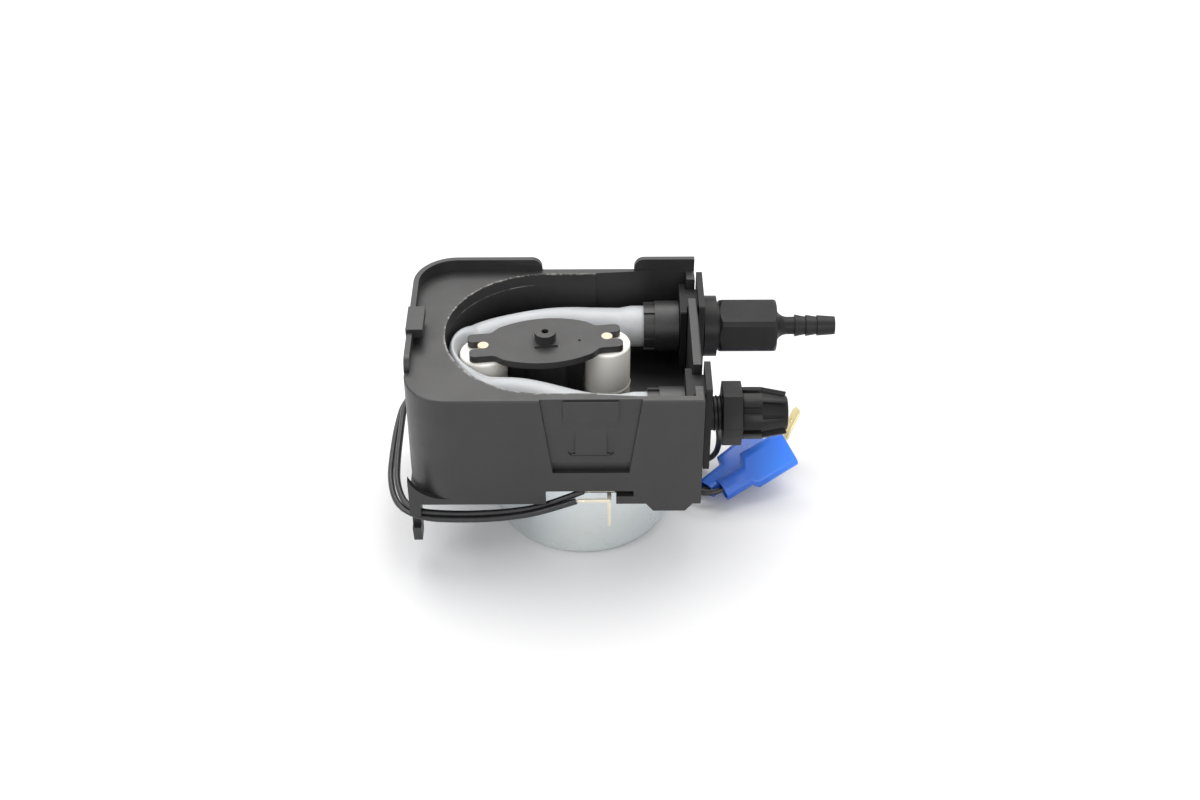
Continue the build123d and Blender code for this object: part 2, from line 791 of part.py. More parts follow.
magnet_bore = axle_radius + run_gap
with BuildPart() as magnet_ring:
    column(magnet_centre, magnet_bottom, magnet_height, magnet_radius)
    column(magnet_centre, magnet_bottom, magnet_height, pinion_pitch + 2 * fit_gap, Mode.SUBTRACT)
save(magnet_ring.part, "magnet_ring")

with BuildPart() as magnet_pinion:
    column(magnet_centre, magnet_bottom, first_wheel_z - magnet_bottom, pinion_pitch + fit_gap)
    gear(pinion_teeth, first_wheel_z, wheel_thick, magnet_centre, direction(magnet_centre, first_centre))
    column(magnet_centre, magnet_bottom, motor_height, magnet_bore, Mode.SUBTRACT)
save(magnet_pinion.part, "magnet_pinion")

for label, centre, driver, driven, wheel_z in (
    ("first_reduction_gear", first_centre, magnet_centre, second_centre, first_wheel_z),
    ("second_reduction_gear", second_centre, first_centre, Vector(0, 0), second_wheel_z),
):
    with BuildPart() as reduction_gear:
        gap_angle = direction(centre, driver) + 180 / wheel_teeth
        gear(wheel_teeth, wheel_z, wheel_thick, centre, gap_angle)
        pinion_height = layer_gap + (wheel_thick if label == "first_reduction_gear" else output_thick)
        gear(pinion_teeth, wheel_z + wheel_thick, pinion_height, centre, direction(centre, driven))
        sleeve_z = wheel_z + wheel_thick + pinion_height
        column(centre, sleeve_z, gear_ceiling - sleeve_z, gear_collar_radius)
        column(centre, wheel_z, gear_ceiling - wheel_z, post_radius + run_gap, Mode.SUBTRACT)
    save(reduction_gear.part, label)

with BuildPart() as output_gear:
    gap_angle = direction(Vector(0, 0), second_centre) + 180 / output_teeth
    gear(output_teeth, output_wheel_z, output_thick, Vector(0, 0), gap_angle)
    column(Vector(0, 0), output_wheel_z + output_thick, output_hub_height, shaft_radius + output_hub_wall)
    column(Vector(0, 0), output_wheel_z, 2 * output_thick, shaft_radius + fit_gap, Mode.SUBTRACT)
save(output_gear.part, "output_gear")

with BuildPart() as output_shaft:
    column(Vector(0, 0), frame_plate_bottom, frame_plate_thick + layer_gap, shaft_pivot_radius)
    column(Vector(0, 0), first_wheel_z, plate_bottom - first_wheel_z - part_gap, shaft_radius)
    with BuildSketch(Plane.XY.offset(carrier_bottom)):
        with Locations((shaft_radius - shaft_flat, 0)):
            Rectangle(shaft_radius, 3 * shaft_radius, align=(Align.MIN, Align.CENTER))
    extrude(amount=plate_bottom - carrier_bottom, mode=Mode.SUBTRACT)
save(output_shaft.part, "output_shaft")

# ================================================================ rotor
def rotor_plane(z):
    """Level plane at this height, turned with the rotor."""
    return Plane(origin=(0, 0, z), x_dir=polar(1, rotor_turn), z_dir=(0, 0, 1))


def rotor_profile():
    """Bowed plate with a forked arm for a roller pin at each end."""
    bow_end = arm_start - arm_neck_in
    bow_edge = plate_half_width - plate_bow_radius + sqrt(plate_bow_radius**2 - bow_end**2)
    shoulder = arm_start + arm_neck_out
    upper = [(bow_end, bow_edge), (shoulder, arm_half_width), (arm_tip, arm_half_width)]
    with BuildSketch() as profile:
        with BuildLine():
            ThreePointArc((-bow_end, bow_edge), (0, plate_half_width), (bow_end, bow_edge))
            Polyline(*upper, *[(x, -y) for x, y in reversed(upper)])
            ThreePointArc((bow_end, -bow_edge), (0, -plate_half_width), (-bow_end, -bow_edge))
            Polyline(*[(-x, -y) for x, y in upper], *[(-x, y) for x, y in reversed(upper)])
        make_face()
        corners = profile.vertices()
        fillet(corners.filter_by(lambda v: abs(abs(v.X) - shoulder) < point_slack), arm_root_round)
        fillet(profile.vertices().filter_by(lambda v: abs(abs(v.X) - bow_end) < point_slack), bow_round)
        for end in (-1, 1):
            with Locations((end * roller_orbit, 0)):
                Circle(pin_radius + fit_gap, mode=Mode.SUBTRACT)
            with Locations((end * (roller_orbit + arm_tip / 2), 0)):
                Rectangle(arm_tip, 2 * (pin_radius + fit_gap), mode=Mode.SUBTRACT)
        fillet(profile.vertices().filter_by(lambda v: abs(abs(v.X) - arm_tip) < point_slack), fork_round)
    return profile.sketch


rotor_face = rotor_profile()

with BuildPart() as rotor_plate:
    with BuildSketch(rotor_plane(plate_bottom)):
        add(rotor_face)
    extrude(amount=plate_thick)
    with BuildSketch(rotor_plane(plate_top)):
        Rectangle(boss_pad, boss_pad)
    extrude(amount=boss_pad_height)
    column(Vector(0, 0), plate_top, boss_height, boss_radius)
    column(Vector(0, 0), plate_top + boss_height - socket_depth, socket_depth, socket_radius, Mode.SUBTRACT)
    column(polar(dimple_offset, 0), plate_top - plate_thick / 2, plate_thick, dimple_radius, Mode.SUBTRACT)
save(rotor_plate.part, "rotor_plate")

with BuildPart() as roller_carrier:
    with BuildSketch(rotor_plane(carrier_bottom)):
        add(rotor_face)
    extrude(amount=carrier_plate_thick)
    with BuildSketch(rotor_plane(carrier_top)):
        Circle(carrier_hub_radius)
        Rectangle(2 * carrier_web_reach, 2 * carrier_web_half)
    extrude(amount=plate_bottom - carrier_top)
    with BuildSketch(Plane.XY.offset(carrier_bottom)):
        Circle(shaft_radius + fit_gap)
        with Locations((shaft_radius - shaft_flat + fit_gap, 0)):
            Rectangle(shaft_radius, 3 * shaft_radius, align=(Align.MIN, Align.CENTER), mode=Mode.SUBTRACT)
    extrude(amount=plate_bottom - carrier_bottom, mode=Mode.SUBTRACT)
save(roller_carrier.part, "roller_carrier")

for label, angle in (("right", rotor_turn), ("left", rotor_turn + 180)):
    roller_centre = polar(roller_orbit, angle)
    with BuildPart() as roller:
        with BuildSketch(Plane(origin=roller_centre, x_dir=polar(1, angle), z_dir=polar(1, angle - 90))):
            with BuildLine():
                Polyline(
                    (pin_radius + run_gap, roller_top),
                    (pin_radius + run_gap, roller_bottom),
                    (roller_radius, roller_bottom),
                    (roller_radius, roller_bead_height - roller_bead_half),
                    (roller_radius + roller_bead, roller_bead_height),
                    (roller_radius, roller_bead_height + roller_bead_half),
                    (roller_radius, roller_top),
                    close=True,
                )
            make_face()
        revolve(axis=Axis(roller_centre, (0, 0, 1)))
        fillet(edges().group_by(Axis.Z)[-1].sort_by(SortBy.RADIUS)[-1], roller_shoulder)
    save(roller.part, f"roller_{label}")
    with BuildPart() as roller_pin:
        column(roller_centre, carrier_bottom, plate_top - carrier_bottom, pin_radius)
    save(roller_pin.part, f"roller_pin_{label}")

# ================================================================ pump tube
race_reach = race_radius - squeeze_gap
roller_reach = roller_radius + squeeze_gap
squeeze_sum = race_reach + roller_reach
squeeze_side = rotor_turn + 180
squeeze_centre = polar(roller_orbit, squeeze_side)


def squeeze_turn(half_thick):
    """Angle about the left roller, from its outermost point, where the tube is this thick."""
    distance = half_thick + roller_reach
    return degrees(
        acos(((squeeze_sum**2 - roller_orbit**2) / distance - 2 * squeeze_sum) / (2 * roller_orbit))
    )


def squeeze_place(turn):
    """Middle of the tube between race and roller, with its direction, this far round the roller."""
    distance = (squeeze_sum**2 - roller_orbit**2) / (
        2 * squeeze_sum + 2 * roller_orbit * cos(radians(turn))
    )
    middle = squeeze_centre + polar(distance, squeeze_side + turn)
    outward = middle.normalized() + (middle - squeeze_centre).normalized()
    return middle, Vector(-outward.Y, outward.X).normalized()


def oval(middle, along, inset):
    """Tube section, as thick as race and roller leave room for and taller in return."""
    room = min(race_reach - middle.length, (middle - squeeze_centre).length - roller_reach)
    half_thick = min(tube_radius, room)
    half_tall = sqrt(2 * tube_radius**2 - half_thick**2)
    place = Plane(origin=(middle.X, middle.Y, fitting_height), x_dir=(0, 0, 1), z_dir=along)
    with BuildSketch(place) as section:
        Ellipse(half_tall - inset, half_thick - inset)
    return section.sketch


def ring_face(middle, along, radius):
    """Round tube section."""
    place = Plane(origin=(middle.X, middle.Y, fitting_height), x_dir=(0, 0, 1), z_dir=along)
    with BuildSketch(place) as section:
        Circle(radius)
    return section.sketch


open_turn = squeeze_turn(tube_radius)
bore_turn = squeeze_turn(tube_wall + part_gap)
back_start, back_along = squeeze_place(-open_turn)
front_leave, front_along = squeeze_place(tube_leave_turn)
front_start = Vector(*tube_front_run[0])
front_end = Vector(front_straight_start, -fitting_half_pitch)
back_end = Vector(back_straight_start, fitting_half_pitch)
level = Vector(0, 0, fitting_height)
axis_x = Vector(1, 0, 0)
front_blend = Spline(front_leave, front_start, tangents=(front_along, axis_x))
front_path = Spline(
    front_start + level, *[Vector(*spot) + level for spot in tube_front_run[1:]], front_end + level,
    tangents=(axis_x, axis_x),
)
back_path = Spline(
    back_start + level, *[Vector(*spot) + level for spot in tube_back_run], back_end + level,
    tangents=(-back_along, axis_x),
)


def squeezed_places(start_turn, end_turn, count):
    """Evenly spread places round the roller, both ends included."""
    return [squeeze_place(start_turn + (end_turn - start_turn) * i / count) for i in range(count + 1)]


blend_shares = [i / blend_steps for i in range(1, blend_steps + 1)]
blend_places = [(front_blend @ share, front_blend % share) for share in blend_shares]
whole_places = squeezed_places(-open_turn, tube_leave_turn, squeeze_steps) + blend_places
back_places = squeezed_places(-open_turn, -bore_turn, back_bore_steps)
front_places = squeezed_places(bore_turn, tube_leave_turn, front_bore_steps) + blend_places

with BuildPart() as pump_tube:
    loft([oval(middle, along, 0) for middle, along in whole_places])
    for path, middle, along in (
        (back_path, back_start, -back_along),
        (front_path, front_start, axis_x),
    ):
        sweep(ring_face(middle, along, tube_radius), path=path)
    for side, straight in ((1, back_straight_start), (-1, front_straight_start)):
        with BuildSketch(facing_x(straight, side)):
            Circle(tube_radius)
        extrude(amount=tube_flare_start - straight)
        with BuildSketch(facing_x(tube_flare_start, side)):
            Circle(tube_radius)
        with BuildSketch(facing_x(tube_flare_end, side)):
            Circle(flare_radius)
        loft()
        with BuildSketch(facing_x(tube_flare_end, side)):
            Circle(flare_radius)
        extrude(amount=tube_end - tube_flare_end)
    for places in (back_places, front_places):
        loft([oval(middle, along, tube_wall) for middle, along in places], mode=Mode.SUBTRACT)
    for path, middle, along in (
        (back_path, back_start, -back_along),
        (front_path, front_start, axis_x),
    ):
        sweep(ring_face(middle, along, tube_radius - tube_wall), path=path, mode=Mode.SUBTRACT)
    for side, straight in ((1, back_straight_start), (-1, front_straight_start)):
        with BuildSketch(facing_x(straight, side)):
            Circle(tube_radius - tube_wall)
        extrude(amount=tube_flare_start - straight, mode=Mode.SUBTRACT)
        with BuildSketch(facing_x(tube_flare_start, side)):
            Circle(tube_radius - tube_wall)
        with BuildSketch(facing_x(tube_flare_end, side)):
            Circle(flare_radius - tube_wall)
        loft(mode=Mode.SUBTRACT)
        with BuildSketch(facing_x(tube_flare_end, side)):
            Circle(flare_radius - tube_wall)
        extrude(amount=tube_end - tube_flare_end, mode=Mode.SUBTRACT)
save(pump_tube.part, "pump_tube")

# ================================================================ fittings
def bar_x(side, start, end, radius, mode=Mode.ADD):
    """Round bar or bore along a fitting axis."""
    with BuildSketch(facing_x(start, side)) as disc:
        Circle(radius)
    extrude(disc.sketch, amount=end - start, mode=mode)


def cone_x(side, start, end, start_radius, end_radius, mode=Mode.ADD):
    """Taper along a fitting axis."""
    with BuildSketch(facing_x(start, side)) as near:
        Circle(start_radius)
    with BuildSketch(facing_x(end, side)) as far:
        Circle(end_radius)
    loft([near.sketch, far.sketch], mode=mode)


def block_x(side, start, end, half, bottom, top, corner):
    """Plate across a fitting axis with rounded upright edges."""
    with BuildSketch(facing_x(start, side)) as plate:
        with Locations((0, (bottom + top) / 2 - fitting_height)):
            RectangleRounded(2 * half, top - bottom, corner)
    extrude(plate.sketch, amount=end - start)


def hexagon_x(side, start, end, flats, turn, corner):
    """Hexagon bar along a fitting axis with its corners taken off at both ends."""
    with BuildSketch(facing_x(start, side)) as hexagon:
        RegularPolygon(flats / 2, 6, major_radius=False, rotation=turn)
    bar = extrude(hexagon.sketch, amount=end - start, mode=Mode.PRIVATE)
    with BuildSketch(facing_x(start, side)) as disc:
        Circle(flats / sqrt(3) - corner / 2)
    lathe = extrude(disc.sketch, amount=end - start, mode=Mode.PRIVATE)
    lathe = lathe.solid()
    add(bar & lathe.chamfer(corner, None, lathe.edges().filter_by(GeomType.CIRCLE)))


for side, name in ((-1, "front"), (1, "back")):
    with BuildPart() as tube_clamp:
        bar_x(side, clamp_start, clamp_start + clamp_ring_length, clamp_ring_radius)
        bar_x(side, clamp_start + clamp_ring_length, clamp_end, clamp_body_radius)
        for i in range(clamp_rib_count):
            turn = 360 * i / clamp_rib_count
            with BuildSketch(facing_x(clamp_start, side)):
                with PolarLocations(clamp_ring_radius, 1, turn):
                    Rectangle(clamp_rib, clamp_rib)
            extrude(amount=clamp_ring_length)
        bar_x(side, clamp_start, clamp_end, flare_radius + fit_gap, Mode.SUBTRACT)
    save(tube_clamp.part, f"tube_clamp_{name}")

for side, name, half in (
    (1, "discharge_connector", discharge_plate_half),
    (-1, "suction_connector", suction_plate_half),
):
    with BuildPart() as connector:
        bar_x(side, spigot_start + spigot_taper, inner_flange_start, spigot_radius)
        cone_x(side, spigot_start, spigot_start + spigot_taper, spigot_tip, spigot_radius)
        block_x(
            side, inner_flange_start, inner_flange_start + inner_flange_thick,
            inner_flange_half, inner_flange_bottom, neck_top, edge_round,
        )
        block_x(side, inner_flange_start, outer_plate_start, neck_half, neck_bottom, neck_top, edge_round)
        block_x(
            side, outer_plate_start, outer_plate_end, half, outer_plate_bottom, deck_top, edge_round,
        )
        bar_x(side, outer_plate_end, stub_end, stub_radius)
        bar_x(side, spigot_start, stub_end, spigot_bore, Mode.SUBTRACT)
    save(connector.part, name)

socket_end = stub_end + part_gap
socket_bore = stub_radius + fit_gap
cove_middle = 1 - cos(radians(45))
disc_start = outer_plate_end + part_gap
with BuildPart() as discharge_adapter:
    disc_end = disc_start + disc_thick
    bar_x(1, disc_start, disc_end, disc_radius)
    bar_x(1, disc_end, hex_start, adapter_neck_radius)
    hexagon_x(1, hex_start, hex_end, discharge_hex_flats, hex_turn, hex_corner)
    with BuildSketch(Plane(origin=(0, fitting_half_pitch, fitting_height), x_dir=(1, 0, 0), z_dir=(0, -1, 0))):
        with BuildLine():
            Polyline((shank_start, 0), (hex_end, 0), (hex_end, shank_radius + shank_cove))
            shank_curve = (hex_end + shank_cove * cove_middle, shank_radius + shank_cove * cove_middle)
            ThreePointArc((hex_end, shank_radius + shank_cove), shank_curve, (shank_start, shank_radius))
            Line((shank_start, shank_radius), (shank_start, 0))
        make_face()
    revolve(axis=Axis((0, fitting_half_pitch, fitting_height), (1, 0, 0)))
    bar_x(1, shank_start, barb_start, shank_radius)
    for i in range(barb_count):
        start = barb_start + i * barb_pitch
        last = i == barb_count - 1
        end = barb_tip if last else start + barb_pitch
        cone_x(1, start, end, barb_radius - barb_taper * i / barb_count, barb_end if last else shank_radius)
    bar_x(1, disc_start, barb_tip, barb_bore, Mode.SUBTRACT)
    bar_x(1, disc_start, socket_end, socket_bore, Mode.SUBTRACT)
save(discharge_adapter.part, "discharge_adapter")

with BuildPart() as suction_union:
    hexagon_x(-1, union_hex_start, union_hex_end, suction_hex_flats, union_turn, hex_corner)
    bar_x(-1, union_hex_end, union_thread_end, union_thread_radius)
    bar_x(-1, union_thread_end, union_nipple_end, union_nipple_radius)
    bar_x(-1, union_hex_start, union_nipple_end, union_bore, Mode.SUBTRACT)
    bar_x(-1, union_hex_start, socket_end, socket_bore, Mode.SUBTRACT)
save(suction_union.part, "suction_union")

nut_bore = union_thread_radius + fit_gap
nut_cone_start = union_thread_end + 2 * nut_gap
nut_cone_end = nut_cone_start + ring_length
with BuildPart() as compression_nut:
    bar_x(-1, nut_start, nut_taper_start, nut_radius)
    cone_x(-1, nut_taper_start, nut_end, nut_radius, nut_end_radius)
    with BuildSketch(facing_x(nut_start, -1)) as ribs:
        with PolarLocations(nut_radius, nut_rib_count, hex_turn):
            Rectangle(2 * nut_rib, nut_rib_width)
        fillet(ribs.vertices(), nut_rib_round)
    extrude(amount=nut_end - nut_start - nut_rib)
    bar_x(-1, nut_start, nut_cone_start, nut_bore, Mode.SUBTRACT)
    cone_x(-1, nut_cone_start, nut_cone_end, nut_bore, nut_hose_radius, Mode.SUBTRACT)
    bar_x(-1, nut_cone_end, nut_end, nut_hose_radius, Mode.SUBTRACT)
save(compression_nut.part, "compression_nut")

with BuildPart() as hose_grip_ring:
    grip_start = union_thread_end + nut_gap
    grip_end = nut_cone_end - 3 * nut_gap
    cone_x(-1, grip_start, grip_end, nut_bore - fit_gap, ring_bore + nut_gap)
    bar_x(-1, grip_start, grip_end, ring_bore, Mode.SUBTRACT)
save(hose_grip_ring.part, "hose_grip_ring")

# ================================================================ terminals
motor_front = Vector(motor_offset, 0)
with BuildPart() as terminal_block:
    with BuildSketch(Plane.XY.offset(block_bottom)):
        with Locations((block_left, block_front)):
            Rectangle(block_right - block_left, block_depth, align=(Align.MIN, Align.MIN))
    extrude(amount=block_top - block_bottom)
    column(motor_front, block_bottom, block_top - block_bottom, can_radius + fit_gap, Mode.SUBTRACT)
save(terminal_block.part, "terminal_block")


def tab_face(left, right, bottom, top, front, thick):
    """Upright strip facing forward, added to the part being made."""
    with BuildSketch(Plane.XZ.offset(-front)) as strip:
        with Locations((left, bottom)):
            Rectangle(right - left, top - bottom, align=(Align.MIN, Align.MIN))
    extrude(strip.sketch, amount=-thick)


with BuildPart() as terminal_tab_front:
    tab_face(front_tab_left, front_tab_right, front_tab_top - tab_width, front_tab_top, front_tab_y, tab_thick)
    tab_face(front_tab_right - tab_width, front_tab_right, front_leg_bottom, front_tab_top, front_tab_y, tab_thick)
    foot_depth = block_front - front_tab_y
    tab_face(
        front_tab_right - tab_width, front_tab_right, block_bottom, block_bottom + tab_thick,
        front_tab_y, foot_depth,
    )
save(terminal_tab_front.part, "terminal_tab_front")

with BuildPart() as terminal_tab_rear:
    tab_face(rear_tab_left, rear_tab_right, rear_tab_top - tab_width, rear_tab_top, rear_tab_y, tab_thick)
    foot_depth = block_front - rear_tab_y
    tab_face(rear_tab_left, rear_tab_left + tab_width, block_top - tab_width, block_top, rear_tab_y, foot_depth)
save(terminal_tab_rear.part, "terminal_tab_rear")

# ================================================================ push-on terminals
def terminal_frame(barrel_end, azimuth, elevation, roll):
    """Frame at a sleeve's barrel end: x along its width, y along its thickness, z towards its mouth."""
    lean = cos(radians(elevation))
    along = polar(lean, azimuth) + Vector(0, 0, sin(radians(elevation)))
    width = polar(1, azimuth - 90).rotate(Axis((0, 0, 0), along), roll)
    return Plane(origin=barrel_end, x_dir=width, z_dir=along)


front_terminal = terminal_frame(front_barrel_end, front_azimuth, front_elevation, front_roll)
rear_terminal = terminal_frame(rear_barrel_end, rear_azimuth, rear_elevation, 0)


for name, frame in (("front", front_terminal), ("rear", rear_terminal)):
    shoulder_end = sleeve_barrel_length + sleeve_shoulder
    with BuildPart() as sleeve:
        for shrink, mode in ((0, Mode.ADD), (sleeve_wall, Mode.SUBTRACT)):
            widths = (sleeve_barrel_width - 2 * shrink, sleeve_width - 2 * shrink)
            thicks = (sleeve_thick - 2 * shrink, sleeve_thick - 2 * shrink)
            with BuildSketch(frame):
                SlotOverall(widths[0], thicks[0])
            extrude(amount=sleeve_barrel_length, mode=mode)
            with BuildSketch(frame.offset(sleeve_barrel_length)):
                SlotOverall(widths[0], thicks[0])
            with BuildSketch(frame.offset(shoulder_end)):
                SlotOverall(widths[1], thicks[1])
            loft(mode=mode)
            with BuildSketch(frame.offset(shoulder_end)):
                SlotOverall(widths[1], thicks[1])
            extrude(amount=sleeve_length - shoulder_end, mode=mode)
    save(sleeve.part, f"terminal_sleeve_{name}")

core_width = sleeve_barrel_width - 2 * sleeve_wall - 2 * fit_gap
core_thick = sleeve_thick - 2 * sleeve_wall - 2 * fit_gap
with BuildPart() as blade_terminal:
    with BuildSketch(rear_terminal.offset(crimp_start)):
        SlotOverall(core_width, core_thick)
    extrude(amount=sleeve_core_end - crimp_start)
    with BuildSketch(rear_terminal.offset(sleeve_core_end)):
        Rectangle(blade_width, blade_thick)
    extrude(amount=sleeve_length + blade_reach - sleeve_core_end)
    with BuildSketch(Plane(rear_terminal.origin, x_dir=rear_terminal.z_dir, z_dir=rear_terminal.y_dir)):
        with Locations((sleeve_length + blade_reach / 2, 0)):
            Circle(blade_hole_radius)
    extrude(amount=blade_width, both=True, mode=Mode.SUBTRACT)
save(blade_terminal.part, "blade_terminal")

with BuildPart() as receptacle_terminal:
    with BuildSketch(front_terminal.offset(crimp_start)):
        SlotOverall(core_width, core_thick)
    extrude(amount=sleeve_core_end - crimp_start)
    with BuildSketch(front_terminal.offset(sleeve_core_end)):
        SlotOverall(receptacle_width, core_thick)
        Rectangle(blade_width + fit_gap, blade_thick + fit_gap, mode=Mode.SUBTRACT)
    extrude(amount=sleeve_length - sleeve_core_end - receptacle_setback)
save(receptacle_terminal.part, "receptacle_terminal")

# ================================================================ leads
def bend_radii(route):
    """Bend radius at each inner corner: nearly half the shorter run, spread over the turn."""
    radii = []
    for before, corner, after in zip(route, route[1:], route[2:]):
        inward = Vector(*corner) - Vector(*before)
        outward = Vector(*after) - Vector(*corner)
        half_turn = radians(inward.get_angle(outward)) / 2
        radii.append(bend_share * min(inward.length, outward.length) / tan(half_turn))
    return radii


for label, route in (("lead_front", front_route), ("lead_rear", rear_route)):
    radii = bend_radii(route)
    with BuildPart() as lead:
        with BuildLine() as lead_line:
            FilletPolyline(*route, radius=radii)
        with BuildSketch(Plane(origin=lead_line.line @ 0, z_dir=lead_line.line % 0)):
            Circle(lead_radius)
        sweep()
    save(lead.part, label)
    print(label, "radii", [round(radius, 1) for radius in radii])
    length = sum(edge.length for edge in lead_line.edges())
    print(label, "length", round(length, 1), "volume / section", round(lead.part.volume / (pi * lead_radius**2), 1))
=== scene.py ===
"""Dresses a peristaltic dosing pump: finishes, cords, threads, tube and studio."""
import json
import math

import bmesh
import bpy
from mathutils import Matrix, Vector


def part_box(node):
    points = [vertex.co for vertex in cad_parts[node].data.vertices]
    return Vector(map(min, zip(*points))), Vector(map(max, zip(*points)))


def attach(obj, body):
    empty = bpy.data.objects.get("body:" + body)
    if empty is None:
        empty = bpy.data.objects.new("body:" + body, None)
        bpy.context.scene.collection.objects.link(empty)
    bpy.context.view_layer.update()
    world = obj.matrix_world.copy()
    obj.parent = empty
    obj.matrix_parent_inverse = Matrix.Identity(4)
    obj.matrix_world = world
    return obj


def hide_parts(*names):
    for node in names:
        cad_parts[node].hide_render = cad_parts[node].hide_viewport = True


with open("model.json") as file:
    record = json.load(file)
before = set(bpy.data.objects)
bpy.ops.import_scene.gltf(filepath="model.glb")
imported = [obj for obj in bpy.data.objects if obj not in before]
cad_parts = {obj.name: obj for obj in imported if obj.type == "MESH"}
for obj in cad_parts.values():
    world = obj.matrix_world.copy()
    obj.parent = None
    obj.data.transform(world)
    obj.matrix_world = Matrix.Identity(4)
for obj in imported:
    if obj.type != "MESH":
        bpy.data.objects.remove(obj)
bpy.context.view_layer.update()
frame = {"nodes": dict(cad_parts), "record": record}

bl_info = {
    "name": "Peristaltic pump dressing",
    "version": (1, 0, 0),
    "blender": (4, 5, 0),
    "location": "View3D > Sidebar > Pump",
    "description": "Builds the looks of a roller dosing pump on its packed frame",
    "category": "Object",
}

MM = 0.001
SQUARE_ON = 0.9  # a face looks along an axis when its normal has this much of it
CLOSE = 0.1 * MM  # places nearer than this count as one when faces and edges are picked
MIX_FIRST, MIX_SECOND, MIX_RESULT = 6, 7, 2  # colour sockets of a Mix node


# ---------------------------------------------------------------- settings
class PumpSizes(bpy.types.PropertyGroup):
    """Sizes and powers that a user may change."""

    lead_diameter: bpy.props.FloatProperty(
        name="Lead diameter", description="Outside of a motor lead", default=0.00175, unit="LENGTH"
    )
    lead_front_length: bpy.props.FloatProperty(
        name="Front lead length", description="Length of the lead to the front sleeve",
        default=0.2222, unit="LENGTH",
    )
    lead_rear_length: bpy.props.FloatProperty(
        name="Rear lead length", description="Length of the lead to the rear sleeve",
        default=0.2527, unit="LENGTH",
    )
    thread_pitch: bpy.props.FloatProperty(
        name="Thread pitch", description="Pitch of the fitting threads", default=0.0010, unit="LENGTH"
    )
    softbox_power: bpy.props.FloatProperty(
        name="Softbox power", description="Power of the overhead softbox", default=17.5, unit="POWER"
    )
    fill_power: bpy.props.FloatProperty(
        name="Fill power", description="Power of each of the two smaller lamps", default=5.0, unit="POWER"
    )


class PumpColours(bpy.types.PropertyGroup):
    """Colours that a user may change."""

    body: bpy.props.FloatVectorProperty(
        name="Body", description="Black moulded body", subtype="COLOR", default=(0.0158, 0.0150, 0.0152)
    )
    roller: bpy.props.FloatVectorProperty(
        name="Rollers", description="Warm white rollers", subtype="COLOR", default=(0.82, 0.80, 0.74)
    )
    tube: bpy.props.FloatVectorProperty(
        name="Tube", description="Milky tube", subtype="COLOR", default=(0.38, 0.39, 0.40)
    )
    can: bpy.props.FloatVectorProperty(
        name="Motor can", description="Zinc plated steel", subtype="COLOR", default=(0.74, 0.80, 0.83)
    )
    sleeve: bpy.props.FloatVectorProperty(
        name="Sleeves", description="Blue nylon sleeves", subtype="COLOR", default=(0.035, 0.24, 0.98)
    )


# ---------------------------------------------------------------- shader nodes
def connect(tree, value, socket):
    """Links a pattern to the socket, or gives the socket a number or a colour."""
    if hasattr(value, "is_linked"):
        tree.links.new(value, socket)
    elif socket.type == "RGBA" and len(value) == 3:
        socket.default_value = (*value, 1)
    else:
        socket.default_value = value


def add_node(tree, kind, **inputs):
    """Adds a node and connects its inputs by name, underscores for spaces."""
    node = tree.nodes.new(kind)
    for name, value in inputs.items():
        connect(tree, value, node.inputs[name.replace("_", " ")])
    return node


def combine(tree, operation, first, second=0.0):
    """Joins two patterns, or a pattern and a number, by a math operation."""
    node = tree.nodes.new("ShaderNodeMath")
    node.operation = operation
    connect(tree, first, node.inputs[0])
    connect(tree, second, node.inputs[1])
    return node.outputs[0]


def distance(tree, place):
    """How far a place is from the origin."""
    node = tree.nodes.new("ShaderNodeVectorMath")
    node.operation = "LENGTH"
    tree.links.new(place, node.inputs[0])
    return node.outputs["Value"]


def show(tree, share, first, second, output):
    """Sends the first shader, and this share of the second, to the tree's output node."""
    mix = tree.nodes.new("ShaderNodeMixShader")
    tree.links.new(share, mix.inputs["Fac"])
    tree.links.new(first.outputs[0], mix.inputs[1])
    tree.links.new(second.outputs[0], mix.inputs[2])
    tree.links.new(mix.outputs[0], tree.nodes[output].inputs["Surface"])


